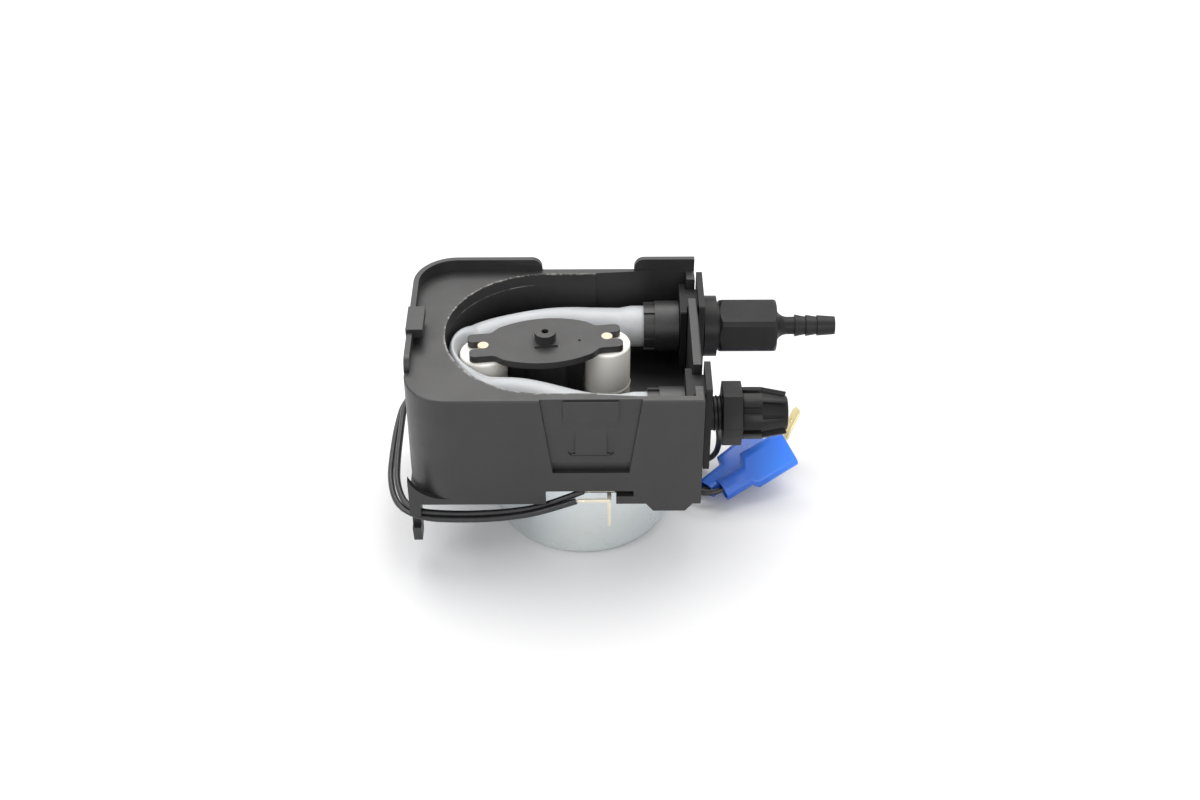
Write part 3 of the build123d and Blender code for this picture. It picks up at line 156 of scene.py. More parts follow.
class Finish:
    """A material being put together from noise, blends and bumps on object coordinates."""

    def __init__(self, name):
        self.material = bpy.data.materials.new(name)
        self.material.use_nodes = True
        self.tree = self.material.node_tree
        self.shader = self.tree.nodes["Principled BSDF"]
        self.place = self.tree.nodes.new("ShaderNodeTexCoord").outputs["Object"]

    def set(self, **values):
        """Sets the shader's own sockets, underscores for spaces."""
        for name, value in values.items():
            connect(self.tree, value, self.shader.inputs[name.replace("_", " ")])

    def axes(self):
        """The X, Y and Z of the object coordinates."""
        return add_node(self.tree, "ShaderNodeSeparateXYZ", Vector=self.place).outputs

    def noise(self, scale, detail=3.0, roughness=0.55, stretch=None):
        """Noise between 0 and 1, with this many cells to a metre; stretch squeezes them along an axis."""
        place = self.place
        if stretch:
            place = add_node(self.tree, "ShaderNodeMapping", Scale=stretch, Vector=place).outputs["Vector"]
        return add_node(
            self.tree, "ShaderNodeTexNoise", Scale=scale, Detail=detail, Roughness=roughness, Vector=place
        ).outputs["Fac"]

    def span(self, value, low, high, start=0.3, end=0.7):
        """Maps a pattern that runs from start to end onto low to high."""
        ends = {"From Min": start, "From Max": end, "To Min": low, "To Max": high}
        return add_node(self.tree, "ShaderNodeMapRange", Value=value, **ends).outputs["Result"]

    def near(self, value, centre, reach):
        """1 at the centre, falling to 0 at this distance from it."""
        away = combine(self.tree, "ABSOLUTE", combine(self.tree, "SUBTRACT", value, centre))
        return self.span(away, 1, 0, start=0, end=reach)

    def product(self, first, *others):
        """Product of patterns."""
        for other in others:
            first = combine(self.tree, "MULTIPLY", first, other)
        return first

    def blend(self, value, first, second):
        """Mixes two colours by a 0 to 1 pattern."""
        node = self.tree.nodes.new("ShaderNodeMix")
        node.data_type = "RGBA"
        self.tree.links.new(value, node.inputs["Factor"])
        connect(self.tree, first, node.inputs[MIX_FIRST])
        connect(self.tree, second, node.inputs[MIX_SECOND])
        return node.outputs[MIX_RESULT]

    def mottle(self, first, second, scale, **noise):
        """A colour that drifts between two tones."""
        return self.blend(self.span(self.noise(scale, **noise), 0, 1), first, second)

    def colour(self, value):
        """Wires the base colour."""
        self.tree.links.new(value, self.shader.inputs["Base Color"])

    def rough(self, low, high, scale, **noise):
        """Roughness that drifts between two values."""
        self.tree.links.new(self.span(self.noise(scale, **noise), low, high), self.shader.inputs["Roughness"])

    def bump(self, strength, depth, scale, **noise):
        """Adds a bump under those already there."""
        node = add_node(self.tree, "ShaderNodeBump", Strength=strength, Distance=depth)
        self.tree.links.new(self.noise(scale, **noise), node.inputs["Height"])
        normal = self.shader.inputs["Normal"]
        if normal.is_linked:
            self.tree.links.new(normal.links[0].from_socket, node.inputs["Normal"])
        self.tree.links.new(node.outputs["Normal"], normal)


# ---------------------------------------------------------------- materials
RACE_RADIUS = 27.3 * MM
DECK_DROP = 4.7 * MM  # deck below the top of the cover hook
# pale tone of the worn nicks, also used for the painted highlight streak on the race's wall
NICK_AND_HIGHLIGHT_TONE = (0.30, 0.29, 0.27)
NICK_OUTSET = 0.1 * MM  # middle of the nicked band outside the race's wall
NICK_REACH, NICK_DEPTH = 0.55 * MM, 0.5 * MM
# the streak is a painted highlight: a thin pale line of sheen on the race's inner wall
STREAK_DROP = 3.6 * MM  # streak below the deck
STREAK_HALF, STREAK_SKIN = 0.22 * MM, 0.4 * MM
NICK_FADE = (-8 * MM, 16 * MM)  # along X, where the nicks thin out
STREAK_FADE = (-8 * MM, 0)  # along X, where the streak ends
STREAK_START = (2 * MM, 12 * MM)  # along Y, where it begins
ZINC_CLOUD = (0.77, 0.79, 0.74)
NYLON_MILK = (0.06, 0.11, 0.55)
SLEEVE_DARK = 0.4  # of the sleeves' reach along X, from the lead's end, in the darkest tone
VINYL, DUSTY_VINYL = (0.007, 0.007, 0.008), (0.014, 0.014, 0.015)


def tinted(colour, factor):
    """The colour, lighter or darker by this factor."""
    return tuple(min(1.0, channel * factor) for channel in colour)


def moulding(name, colour, roughness, grain=0.12, wear=0.15, shine=0.5):
    """Moulded plastic with a fine spark grain, faint flow marks and rubbed patches."""
    finish = Finish(name)
    finish.set(Roughness=roughness, IOR=1.5, Specular_IOR_Level=shine)
    dark, pale = tinted(colour, 1 - wear), tinted(colour, 1 + wear)
    finish.colour(finish.mottle(dark, pale, scale=45, detail=4, roughness=0.6, stretch=(1, 1, 0.35)))
    finish.rough(roughness - 0.06, roughness + 0.07, scale=140, detail=5, roughness=0.6)
    finish.bump(grain, 0.12 * MM, scale=3200, detail=2, roughness=0.5)
    finish.bump(grain * 0.5, 0.6 * MM, scale=160, detail=2, roughness=0.4)
    return finish


def body_finish(colour):
    """The body's plastic, with worn nicks on the race's upper edge and a painted highlight streak on its
    wall.
    """
    body = moulding("satin_black_body", colour, 0.42)
    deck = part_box("pump_body")[1].z - DECK_DROP
    axes = body.axes()
    # the race is half round on the left and straight on the right, where X adds nothing to the distance
    round_part = combine(body.tree, "MINIMUM", axes["X"], 0)
    from_spine = add_node(body.tree, "ShaderNodeCombineXYZ", X=round_part, Y=axes["Y"])
    reach = distance(body.tree, from_spine.outputs[0])
    nicks = body.product(
        body.near(reach, RACE_RADIUS + NICK_OUTSET, NICK_REACH),
        body.near(axes["Z"], deck, NICK_DEPTH),
        body.span(body.noise(scale=900, detail=5, roughness=0.7), 0, 1, start=0.46, end=0.62),
        body.span(axes["X"], 1, 0.25, *NICK_FADE),
    )
    at_back = body.product(
        body.span(axes["Y"], 0, 1, *STREAK_START), body.span(axes["X"], 1, 0, *STREAK_FADE)
    )
    # painted highlight: a thin pale streak of sheen on the back of the race's inner wall
    painted_highlight_streak = body.product(
        body.near(axes["Z"], deck - STREAK_DROP, STREAK_HALF),
        body.near(reach, RACE_RADIUS, STREAK_SKIN),
        at_back,
        body.span(body.noise(scale=260, detail=3), 0.1, 0.8, start=0.4, end=0.6),
    )
    # worn nicks together with the painted highlight streak
    nicks_and_highlight = combine(body.tree, "MAXIMUM", nicks, painted_highlight_streak)
    plain = body.shader.inputs["Base Color"].links[0].from_socket
    body.colour(body.blend(nicks_and_highlight, plain, NICK_AND_HIGHLIGHT_TONE))
    return body


def roller_finish(colour):
    """Warm white plastic that light enters a little, with fine marks along its height."""
    white = Finish("white_roller")
    white.set(Roughness=0.35, IOR=1.49)
    white.set(Subsurface_Weight=0.25, Subsurface_Radius=(0.004, 0.003, 0.002), Subsurface_Scale=0.5)
    white.colour(white.mottle(tinted(colour, 0.95), colour, scale=90))
    white.rough(0.28, 0.42, scale=300, detail=3, roughness=0.6, stretch=(1, 1, 0.08))
    white.bump(0.05, 0.2 * MM, scale=900, detail=2, roughness=0.5, stretch=(1, 1, 0.05))
    return white


def tube_finish(colour):
    """Milky silicone with a faint wet coat."""
    tube = Finish("milky_tube")
    tube.set(Roughness=0.45, IOR=1.41, Coat_Weight=0.08, Coat_Roughness=0.2)
    tube.set(Subsurface_Weight=0.4, Subsurface_Radius=(0.004, 0.005, 0.006), Subsurface_Scale=0.6)
    tube.colour(tube.mottle(tinted(colour, 0.93), colour, scale=120))
    tube.rough(0.36, 0.5, scale=200)
    tube.bump(0.04, 0.3 * MM, scale=160, detail=1)
    return tube


def can_finish(colour):
    """Bright zinc plate with yellowish clouds and fine rings round the can."""
    can = Finish("zinc_plate")
    can.set(Metallic=1.0, Roughness=0.3)
    plate = can.mottle(tinted(colour, 0.9), colour, scale=38, detail=4, roughness=0.6)
    clouds = can.span(can.noise(scale=16, detail=2), 0, 1, start=0.5, end=0.8)
    can.colour(can.blend(clouds, plate, ZINC_CLOUD))
    can.rough(0.26, 0.36, scale=160, detail=3, roughness=0.6, stretch=(1, 1, 8))
    can.bump(0.015, 0.1 * MM, scale=120, detail=1, roughness=0.5, stretch=(1, 1, 6))
    return can


def metal_finish(name, colour, smoothest, roughest, metallic):
    """A plain metal, handled and slightly patchy."""
    metal = Finish(name)
    metal.set(Metallic=metallic)
    metal.colour(metal.mottle(tinted(colour, 0.92), tinted(colour, 1.06), scale=140))
    metal.rough(smoothest, roughest, scale=300, detail=2)
    metal.bump(0.02, 0.1 * MM, scale=300, detail=1)
    return metal


def sleeve_finish(colour):
    """Blue nylon, darker towards the lead and paler at the mouth."""
    sleeve = Finish("blue_nylon")
    sleeve.set(Roughness=0.34, IOR=1.53, Specular_IOR_Level=0.35)
    sleeve.set(Subsurface_Weight=0.3, Subsurface_Radius=(0.001, 0.002, 0.006), Subsurface_Scale=0.5)
    low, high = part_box("terminal_sleeve_front")
    mouth = sleeve.span(sleeve.axes()["X"], 0, 1, start=low.x + SLEEVE_DARK * (high.x - low.x), end=high.x)
    base = sleeve.blend(mouth, tinted(colour, 0.5), colour)
    milk = sleeve.span(sleeve.noise(scale=60, detail=2), 0, 0.3)
    sleeve.colour(sleeve.blend(milk, base, NYLON_MILK))
    sleeve.rough(0.28, 0.4, scale=90, detail=1)
    sleeve.bump(0.02, 0.1 * MM, scale=90, detail=0)
    return sleeve


def lead_finish():
    """Black soft vinyl with a little dust."""
    lead = Finish("black_pvc")
    lead.set(Roughness=0.36, IOR=1.5, Base_Color=(0.008, 0.008, 0.009))
    lead.colour(lead.mottle(VINYL, DUSTY_VINYL, scale=240, detail=4))
    lead.rough(0.3, 0.46, scale=500, detail=4)
    lead.bump(0.08, 0.2 * MM, scale=1500, detail=2)
    return lead


def make_finishes(colours):
    """Every material, by the record's slot name."""
    black = tuple(colours.body)
    finishes = {
        "body_plastic": body_finish(black),
        "rotor_plastic": moulding("satin_black_rotor", tinted(black, 1.1), 0.46),
        "fitting_plastic": moulding("satin_black_fittings", tinted(black, 0.9), 0.4, wear=0.4, shine=0.16),
        "nut_plastic": moulding("satin_black_nut", tinted(black, 0.5), 0.34, shine=0.2),
        "bobbin_plastic": moulding("black_bobbin", tinted(black, 1.2), 0.5),
        "magnet_ferrite": moulding("ferrite", (0.05, 0.05, 0.055), 0.6),
        "roller_plastic": roller_finish(tuple(colours.roller)),
        "ring_plastic": moulding("natural_ring", (0.8, 0.78, 0.72), 0.4, grain=0.05, wear=0.04),
        "gear_plastic": moulding("natural_acetal", (0.82, 0.81, 0.76), 0.34, grain=0.05, wear=0.03),
        "pin_plastic": moulding("cream_pin", (0.52, 0.46, 0.34), 0.5, grain=0.05, wear=0.05, shine=0.3),
        "tube_silicone": tube_finish(tuple(colours.tube)),
        "zinc_steel": can_finish(tuple(colours.can)),
        "bright_steel": metal_finish("bright_steel", (0.66, 0.61, 0.50), 0.34, 0.46, metallic=0.5),
        "bush_bronze": metal_finish("oiled_bronze", (0.56, 0.40, 0.20), 0.3, 0.5, metallic=1.0),
        "copper_wire": metal_finish("enamelled_copper", (0.70, 0.30, 0.12), 0.2, 0.35, metallic=1.0),
        "terminal_brass": metal_finish("tinned_brass", (0.74, 0.63, 0.33), 0.34, 0.46, metallic=0.6),
        "sleeve_nylon": sleeve_finish(tuple(colours.sleeve)),
        "lead_pvc": lead_finish(),
    }
    return {slot: finish.material for slot, finish in finishes.items()}


FINISHES = {}  # materials by slot name, once the finishes operator has run


def dress(piece, body, slot, *nodes):
    """Gives a new piece its finish, the slot it repaints from, its body and the nodes it stands for."""
    piece.data.materials.clear()
    piece.data.materials.append(FINISHES[slot])
    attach(piece, body)
    if nodes:
        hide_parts(*nodes)
    return piece


# ---------------------------------------------------------------- modelling helpers
def deselect_all():
    """Leaves edit mode with no object selected."""
    if bpy.context.mode != "OBJECT":
        bpy.ops.object.mode_set(mode="OBJECT")
    bpy.ops.object.select_all(action="DESELECT")


def open_piece(name, primitive, axis_turn=None, **options):
    """Adds a primitive, puts its place in its mesh and opens it for editing.
    With axis_turn, a cylinder is laid along X and turned about its own axis by that many degrees."""
    deselect_all()
    place = options.pop("location", (0, 0, 0))
    if axis_turn is not None:
        options["rotation"] = (0, math.pi / 2, 0)
    primitive(**options)
    piece = bpy.context.object
    piece.name = name
    piece.data.name = name
    bpy.ops.object.transform_apply(location=True, rotation=True, scale=True)
    piece.rotation_euler.x = math.radians(axis_turn or 0)
    piece.location = place
    bpy.ops.object.transform_apply(location=True, rotation=True, scale=True)
    bpy.ops.object.mode_set(mode="EDIT")
    return piece


def open_block(name, size, middle):
    """Opens a block of this size about this middle."""
    block = open_piece(name, bpy.ops.mesh.primitive_cube_add, size=1)
    bpy.ops.transform.resize(value=size, center_override=(0, 0, 0))
    bpy.ops.transform.translate(value=middle)
    return block


def open_copy(node, name):
    """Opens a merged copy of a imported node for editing."""
    deselect_all()
    piece = bpy.data.objects.new(name, frame["nodes"][node].data.copy())
    piece.data.name = name
    bpy.context.scene.collection.objects.link(piece)
    piece.select_set(True)
    bpy.context.view_layer.objects.active = piece
    bpy.ops.object.mode_set(mode="EDIT")
    bpy.ops.mesh.select_all(action="SELECT")
    bpy.ops.mesh.remove_doubles(threshold=0.001 * MM)
    return piece


def pick(piece, test, kind="FACE"):
    """Selects the faces, edges or corners that pass the test, and nothing else. The test is given the
    element's middle and a face's normal, or the edge or corner itself."""
    bpy.ops.mesh.select_mode(type=kind)
    bpy.ops.mesh.select_all(action="DESELECT")
    mesh = bmesh.from_edit_mesh(piece.data)
    mesh.normal_update()
    if kind == "FACE":
        for face in mesh.faces:
            face.select_set(bool(test(face.calc_center_median(), face.normal)))
    elif kind == "EDGE":
        for edge in mesh.edges:
            edge.select_set(bool(test((edge.verts[0].co + edge.verts[1].co) / 2, edge)))
    else:
        for corner in mesh.verts:
            corner.select_set(bool(test(corner.co, corner)))
    mesh.select_flush_mode()
    bmesh.update_edit_mesh(piece.data)


def pull(move, scale=None, centre=None):
    """Extrudes what is selected by this move, then scales its new end about the centre."""
    bpy.ops.mesh.extrude_region_move(TRANSFORM_OT_translate={"value": move})
    if scale is not None:
        bpy.ops.transform.resize(value=scale, center_override=centre)


def close_piece(piece, bevel=0.0, angle=30.0):
    """Recalculates the normals, rounds edges sharper than the angle and smooths the rest."""
    bpy.ops.mesh.select_all(action="SELECT")
    bpy.ops.mesh.normals_make_consistent(inside=False)
    bpy.ops.object.mode_set(mode="OBJECT")
    if bevel:
        rounding = piece.modifiers.new("rounding", "BEVEL")
        rounding.width = bevel
        rounding.segments = 2
        rounding.limit_method = "ANGLE"
        rounding.angle_limit = math.radians(angle)
        bpy.ops.object.modifier_apply(modifier=rounding.name)
    bpy.ops.object.shade_smooth_by_angle(angle=math.radians(angle))
    return piece


def fitting_axis(node):
    """Y and Z of a fitting's axis, read from the box of a round piece on it."""
    low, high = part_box(node)
    return (low.y + high.y) / 2, (low.z + high.z) / 2


# ---------------------------------------------------------------- stage
LENS, SENSOR = 51.80, 36  # millimetres of the camera
CAMERA_NEAR = 0.01  # metres
CAMERA_PLACE = (0.01193283, -0.37979448, 0.34052202)  # metres; its three directions follow
CAMERA_RIGHT = (0.99996932, -0.00782152, 0.00041742)
CAMERA_UP = (0.00456339, 0.62507884, 0.78054828)
CAMERA_BACK = (-0.006366, -0.78052243, 0.62509536)
# name, power setting, place, aim, width, height and tint of each lamp, metres
SOFTBOXES = (
    ("overhead_softbox", "softbox_power", (0.05, 0.44, 0.98), (0, 0, 0.05), 1.5, 1.0, (1, 0.99, 0.97)),
    ("left_softbox", "fill_power", (-0.8, -0.35, 0.65), (0, 0, 0.04), 0.6, 0.6, (0.97, 0.985, 1)),
    ("front_fill", "fill_power", (0.35, -1.1, 0.45), (0, 0, 0.04), 0.9, 0.6, (1, 1, 1)),
)
SKY_TINT, SKY_STRENGTH = (0.985, 0.985, 1), 0.75
FLOOR_SIDE = 8  # metres
FLOOR_GAP = 0.1 * MM  # below the pump
FLOOR_TONE = (0.66, 0.66, 0.665)
FADE_START, FADE_END = 0.5, 1.5  # metres from the pump, over which the camera sees the floor turn white


def place_camera(scene):
    """The studio camera, above and in front of the pump."""
    camera = bpy.data.cameras.new("studio_camera")
    camera.lens = LENS
    camera.sensor_width = SENSOR
    camera.clip_start = CAMERA_NEAR
    holder = bpy.data.objects.new("studio_camera", camera)
    scene.collection.objects.link(holder)
    axes = Matrix([Vector(axis) for axis in (CAMERA_RIGHT, CAMERA_UP, CAMERA_BACK)])
    holder.matrix_world = Matrix.Translation(CAMERA_PLACE) @ axes.transposed().to_4x4()
    scene.camera = holder


def hang_lamp(scene, name, power, spot, target, width, height, tint):
    """A rectangular softbox that looks at its target."""
    lamp = bpy.data.lights.new(name, "AREA")
    lamp.shape = "RECTANGLE"
    lamp.size = width
    lamp.size_y = height
    lamp.energy = power
    lamp.color = tint
    box = bpy.data.objects.new(name, lamp)
    box.location = spot
    aim = Vector(target) - Vector(spot)
    box.rotation_euler = aim.to_track_quat("-Z", "Y").to_euler()
    scene.collection.objects.link(box)


def make_sky(scene):
    """Soft light from all round, and plain white where the camera, glass or metal shows the backdrop."""
    world = bpy.data.worlds.new("studio_sky")
    scene.world = world
    world.use_nodes = True
    tree = world.node_tree
    light = tree.nodes["Background"]
    connect(tree, SKY_TINT, light.inputs["Color"])
    connect(tree, SKY_STRENGTH, light.inputs["Strength"])
    backdrop = add_node(tree, "ShaderNodeBackground", Color=(1, 1, 1), Strength=1.0)
    rays = tree.nodes.new("ShaderNodeLightPath").outputs
    seen = combine(tree, "MAXIMUM", rays["Is Camera Ray"], rays["Is Transmission Ray"])
    seen = combine(tree, "MAXIMUM", seen, rays["Is Glossy Ray"])
    show(tree, seen, light, backdrop, "World Output")


def lay_floor():
    """Pale paper that keeps the shadow and turns white for the camera further out."""
    bpy.ops.object.select_all(action="DESELECT")
    bpy.ops.mesh.primitive_plane_add(size=FLOOR_SIDE, location=(0, 0, -FLOOR_GAP))
    floor = bpy.context.object
    floor.name = "pale_floor"
    paper = Finish("pale_paper")
    paper.set(Base_Color=FLOOR_TONE, Roughness=0.9, Specular_IOR_Level=0.1)
    fade = paper.span(distance(paper.tree, paper.place), 0, 1, start=FADE_START, end=FADE_END)
    rays = paper.tree.nodes.new("ShaderNodeLightPath").outputs
    backdrop = paper.tree.nodes.new("ShaderNodeEmission")
    seen = combine(paper.tree, "MULTIPLY", fade, rays["Is Camera Ray"])
    show(paper.tree, seen, paper.shader, backdrop, "Material Output")
    floor.data.materials.append(paper.material)


class PUMP_OT_stage(bpy.types.Operator):
    """Camera, softboxes, sky and pale floor"""

    bl_idname = "pump.stage"
    bl_label = "Stage"

    def execute(self, context):
        scene = context.scene
        place_camera(scene)
        for name, setting, spot, target, width, height, tint in SOFTBOXES:
            hang_lamp(scene, name, getattr(scene.pump_sizes, setting), spot, target, width, height, tint)
        make_sky(scene)
        lay_floor()
        scene.view_settings.view_transform = "Standard"
        return {"FINISHED"}


# ---------------------------------------------------------------- operators for the pump
class PUMP_OT_finishes(bpy.types.Operator):
    """Finishes on every solid of the frame"""

    bl_idname = "pump.finishes"
    bl_label = "Finishes"

    def execute(self, context):
        FINISHES.update(make_finishes(context.scene.pump_colours))
        slots = {sub["node"]: sub["material_slot"] for sub in frame["record"]["subparts"]}
        for name, node in frame["nodes"].items():
            for material_slot in node.material_slots:
                material_slot.material = FINISHES[slots[name]]
        return {"FINISHED"}


SLEEVE_STEP = 9.3 * MM  # along a sleeve, where its wide end starts
SLEEVE_CORE = 1.5 * MM  # half the width that stays as it is
# start of each sleeve, its run and its width direction, and how far the two sides of its wide end grow,
# millimetres
SLEEVES = (
    ("front", (50.72, -3.72, 5.53), (0.8481, 0.4624, 0.2588), (0.5022, -0.5455, -0.671), (1.9, 0.4)),
    ("rear", (46.5, 0, 2.8), (0.7493, 0.6287, 0.2079), (0.6428, -0.766, 0), (1.5, 0.0)),
)


def wide_side(origin, along, outward):
    """A test for the corners of a sleeve's wide end, on the side that outward points to."""

    def test(spot, corner):
        place = spot - origin
        return place.dot(along) > SLEEVE_STEP and place.dot(outward) > SLEEVE_CORE

    return test


class PUMP_OT_sleeves(bpy.types.Operator):
    """Blue sleeves with their wide mouths"""

    bl_idname = "pump.sleeves"
    bl_label = "Sleeves"

    def execute(self, context):
        for end, start, run, width, growth in SLEEVES:
            node = "terminal_sleeve_" + end
            sleeve = open_copy(node, node + "_wide")
            origin = Vector(start) * MM
            along = Vector(run).normalized()
            across = Vector(width).normalized()
            for side, grow in zip((-1, 1), growth):
                outward = across * side
                pick(sleeve, wide_side(origin, along, outward), "VERT")
                bpy.ops.transform.translate(value=outward * grow * MM)
            close_piece(sleeve, angle=40)
            dress(sleeve, "base", "sleeve_nylon", node)
        return {"FINISHED"}


# middle, run direction, width direction, half width and half thickness along the bare blade, millimetres
BLADE_STATIONS = (
    ((57.4, 9.1, 5.8), (0.749, 0.629, 0.208), (0.643, -0.766, 0), 2.1, 1.1),
    ((60.4, 11.7, 6.65), (0.749, 0.629, 0.208), (0.643, -0.766, 0), 2.1, 1.0),
    ((61.5, 12.6, 7.0), (0.749, 0.629, 0.208), (0.643, -0.766, 0), 3.1, 0.4),
    ((64.1, 14.8, 7.7), (0.80, 0.58, 0.17), (0.60, -0.80, 0), 3.0, 0.4),
    ((68.3, 16.6, 7.6), (0.90, 0.38, 0.22), (0.45, -0.88, 0.05), 2.7, 0.4),
    ((70.4, 17.4, 8.6), (0.70, 0.42, 0.56), (0.34, -0.92, 0.16), 2.4, 0.4),
    ((71.4, 18.1, 10.4), (0.43, 0.42, 0.80), (0.25, -0.92, 0.29), 2.3, 0.35),
    ((73.9, 20.5, 15.0), (0.415, 0.425, 0.81), (0.232, -0.925, 0.304), 2.3, 0.35),
    ((74.4, 21.0, 16.0), (0.415, 0.425, 0.81), (0.232, -0.925, 0.304), 1.6, 0.2),
)
BLADE_HOLE = (72.6, 19.2, 12.6)
BLADE_HOLE_RADIUS = 0.85 * MM
BLADE_PUNCH = 4 * MM  # length of the punch, well past the blade's thickness


def blade_corners(middle, run, width, half_width, half_thick):
    """The four corners of the blade's section at a station."""
    along = Vector(run).normalized()
    across = Vector(width)
    across = (across - along * across.dot(along)).normalized()
    normal = along.cross(across)
    return [
        (Vector(middle) + across * half_width * i + normal * half_thick * j) * MM
        for i, j in ((-1, -1), (1, -1), (1, 1), (-1, 1))
    ]


def matched(corners, before):
    """The corners, in the order of the places before them that they were pulled from."""
    return [min(corners, key=lambda corner: (corner.co - spot).length) for spot in before]


class PUMP_OT_blade(bpy.types.Operator):
    """Bare blade terminal, bent upwards where it leaves its sleeve"""

    bl_idname = "pump.blade"
    bl_label = "Blade terminal"

    def execute(self, context):
        blade = open_piece("blade_terminal_bent", bpy.ops.mesh.primitive_plane_add, size=1)
        bpy.ops.mesh.select_all(action="SELECT")
        before = None
        for station in BLADE_STATIONS:
            if before:
                bpy.ops.mesh.extrude_region_move()
            mesh = bmesh.from_edit_mesh(blade.data)
            section = next(face for face in mesh.faces if face.select)
            ring = [loop.vert for loop in section.loops]
            if before:
                ring = matched(ring, before)
            before = blade_corners(*station)
            for corner, spot in zip(ring, before):
                corner.co = spot
            bmesh.update_edit_mesh(blade.data)
        close_piece(blade, bevel=0.12 * MM, angle=40)
        self.punch(context, blade)
        dress(blade, "base", "terminal_brass", "blade_terminal")
        return {"FINISHED"}

    @staticmethod
    def punch(context, blade):
        """Punches the hole near the blade's tip, square to its faces there."""
        run, width = (Vector(direction) for direction in BLADE_STATIONS[-1][1:3])
        bpy.ops.object.select_all(action="DESELECT")
        bpy.ops.mesh.primitive_cylinder_add(
            vertices=24, radius=BLADE_HOLE_RADIUS, depth=BLADE_PUNCH, location=Vector(BLADE_HOLE) * MM,
            rotation=run.cross(width).normalized().to_track_quat("Z", "Y").to_euler(),
        )
        punch = context.object
        context.view_layer.objects.active = blade
        hole = blade.modifiers.new("hole", "BOOLEAN")
        hole.object = punch
        hole.operation = "DIFFERENCE"
        bpy.ops.object.modifier_apply(modifier=hole.name)
        bpy.data.objects.remove(punch)


LEAD_FRONT = (
    (0.01025, -0.02930, 0.02810), (0.00460, -0.02940, 0.02530), (-0.00350, -0.02960, 0.02210),
    (-0.01400, -0.02930, 0.02030), (-0.02650, -0.02900, 0.01970), (-0.03760, -0.02840, 0.02060),
    (-0.04160, -0.02000, 0.02200), (-0.04220, -0.00800, 0.02260), (-0.04220, 0.00500, 0.02280),
    (-0.04230, 0.01750, 0.02230), (-0.03860, 0.02800, 0.02100), (-0.02600, 0.02830, 0.01950),
    (-0.01200, 0.02950, 0.01700), (0.00200, 0.03050, 0.01300), (0.01600, 0.03000, 0.00800),
    (0.02700, 0.02650, 0.00500), (0.03450, 0.02060, 0.00440), (0.03900, 0.01340, 0.00450),
    (0.03990, 0.00620, 0.00460), (0.03990, -0.00020, 0.00460), (0.04420, -0.00430, 0.00480),
    (0.04970, -0.00427, 0.00522), (0.05326, -0.00233, 0.00631),
)
LEAD_REAR = (
    (0.00830, -0.03095, 0.02600), (0.00260, -0.03120, 0.02380), (-0.00500, -0.03110, 0.02110),
    (-0.01500, -0.03060, 0.01920), (-0.02550, -0.03030, 0.01880), (-0.03400, -0.02980, 0.01900),
    (-0.04120, -0.02570, 0.01960), (-0.04400, -0.01550, 0.02020), (-0.04420, -0.00400, 0.02050),
    (-0.04400, 0.00850, 0.02040), (-0.04280, 0.02100, 0.01990), (-0.03650, 0.02950, 0.01860),
    (-0.02500, 0.03060, 0.01690), (-0.01200, 0.03180, 0.01450), (0.00200, 0.03280, 0.01150),
    (0.01600, 0.03300, 0.00950), (0.02850, 0.03150, 0.01000), (0.03950, 0.02700, 0.01350),
    (0.04560, 0.02160, 0.01640), (0.04900, 0.01660, 0.01820), (0.05040, 0.01170, 0.01430),
    (0.05030, 0.01120, 0.00880), (0.04860, 0.01220, 0.00420), (0.04480, 0.01350, 0.00180),
    (0.04020, 0.01250, 0.00130), (0.03700, 0.00820, 0.00130), (0.03680, 0.00280, 0.00130),
    (0.04050, -0.00090, 0.00180), (0.04560, -0.00075, 0.00255), (0.04875, 0.00189, 0.00342),
)
# node, route, length setting and the pieces at the loose end
LEADS = (
    ("lead_front", LEAD_FRONT, "lead_front_length", ("terminal_sleeve_front_wide", "receptacle_terminal")),
    ("lead_rear", LEAD_REAR, "lead_rear_length", ("terminal_sleeve_rear_wide", "blade_terminal_bent")),
)


class PUMP_OT_leads(bpy.types.Operator):
    """Two soft black leads from the motor to their sleeves"""

    bl_idname = "pump.leads"
    bl_label = "Leads"

    def execute(self, context):
        sizes = context.scene.pump_sizes
        for node, route, setting, carried in LEADS:
            curve = bpy.data.curves.new(node + "_cord", "CURVE")
            curve.dimensions = "3D"
            spline = curve.splines.new("NURBS")
            spline.points.add(len(route) - 1)
            for point, place in zip(spline.points, route):
                point.co = (*place, 1)
            spline.order_u = 3
            spline.use_endpoint_u = True
            spline.resolution_u = 8
            curve.bevel_depth = sizes.lead_diameter / 2
            curve.bevel_resolution = 5
            curve.use_fill_caps = True
            cord = bpy.data.objects.new(node + "_cord", curve)
            context.scene.collection.objects.link(cord)
            dress(cord, "base", "lead_pvc", node)
            getattr(sizes, setting)
        return {"FINISHED"}


TUBE_BEND = -8 * MM  # the tube is pressed left of this
TUBE_PRESSED = 1.38  # height of the pressed tube, of a round one's
TUBE_RUN_OUT = 26 * MM  # over which it is round again


class PUMP_OT_tube(bpy.types.Operator):
    """Pump tube, taller where it is pressed against the race"""

    bl_idname = "pump.tube"
    bl_label = "Pump tube"

    def execute(self, context):
        tube = open_copy("pump_tube", "pump_tube_pressed")
        level = fitting_axis("suction_union")[1]
        pick(tube, lambda spot, corner: spot.x < TUBE_BEND, "VERT")
        bpy.ops.transform.resize(
            value=(1, 1, TUBE_PRESSED), center_override=(0, 0, level), use_proportional_edit=True,
            proportional_edit_falloff="SMOOTH", proportional_size=TUBE_RUN_OUT,
        )
        close_piece(tube, angle=50)
        dress(tube, "base", "tube_silicone", "pump_tube")
        return {"FINISHED"}


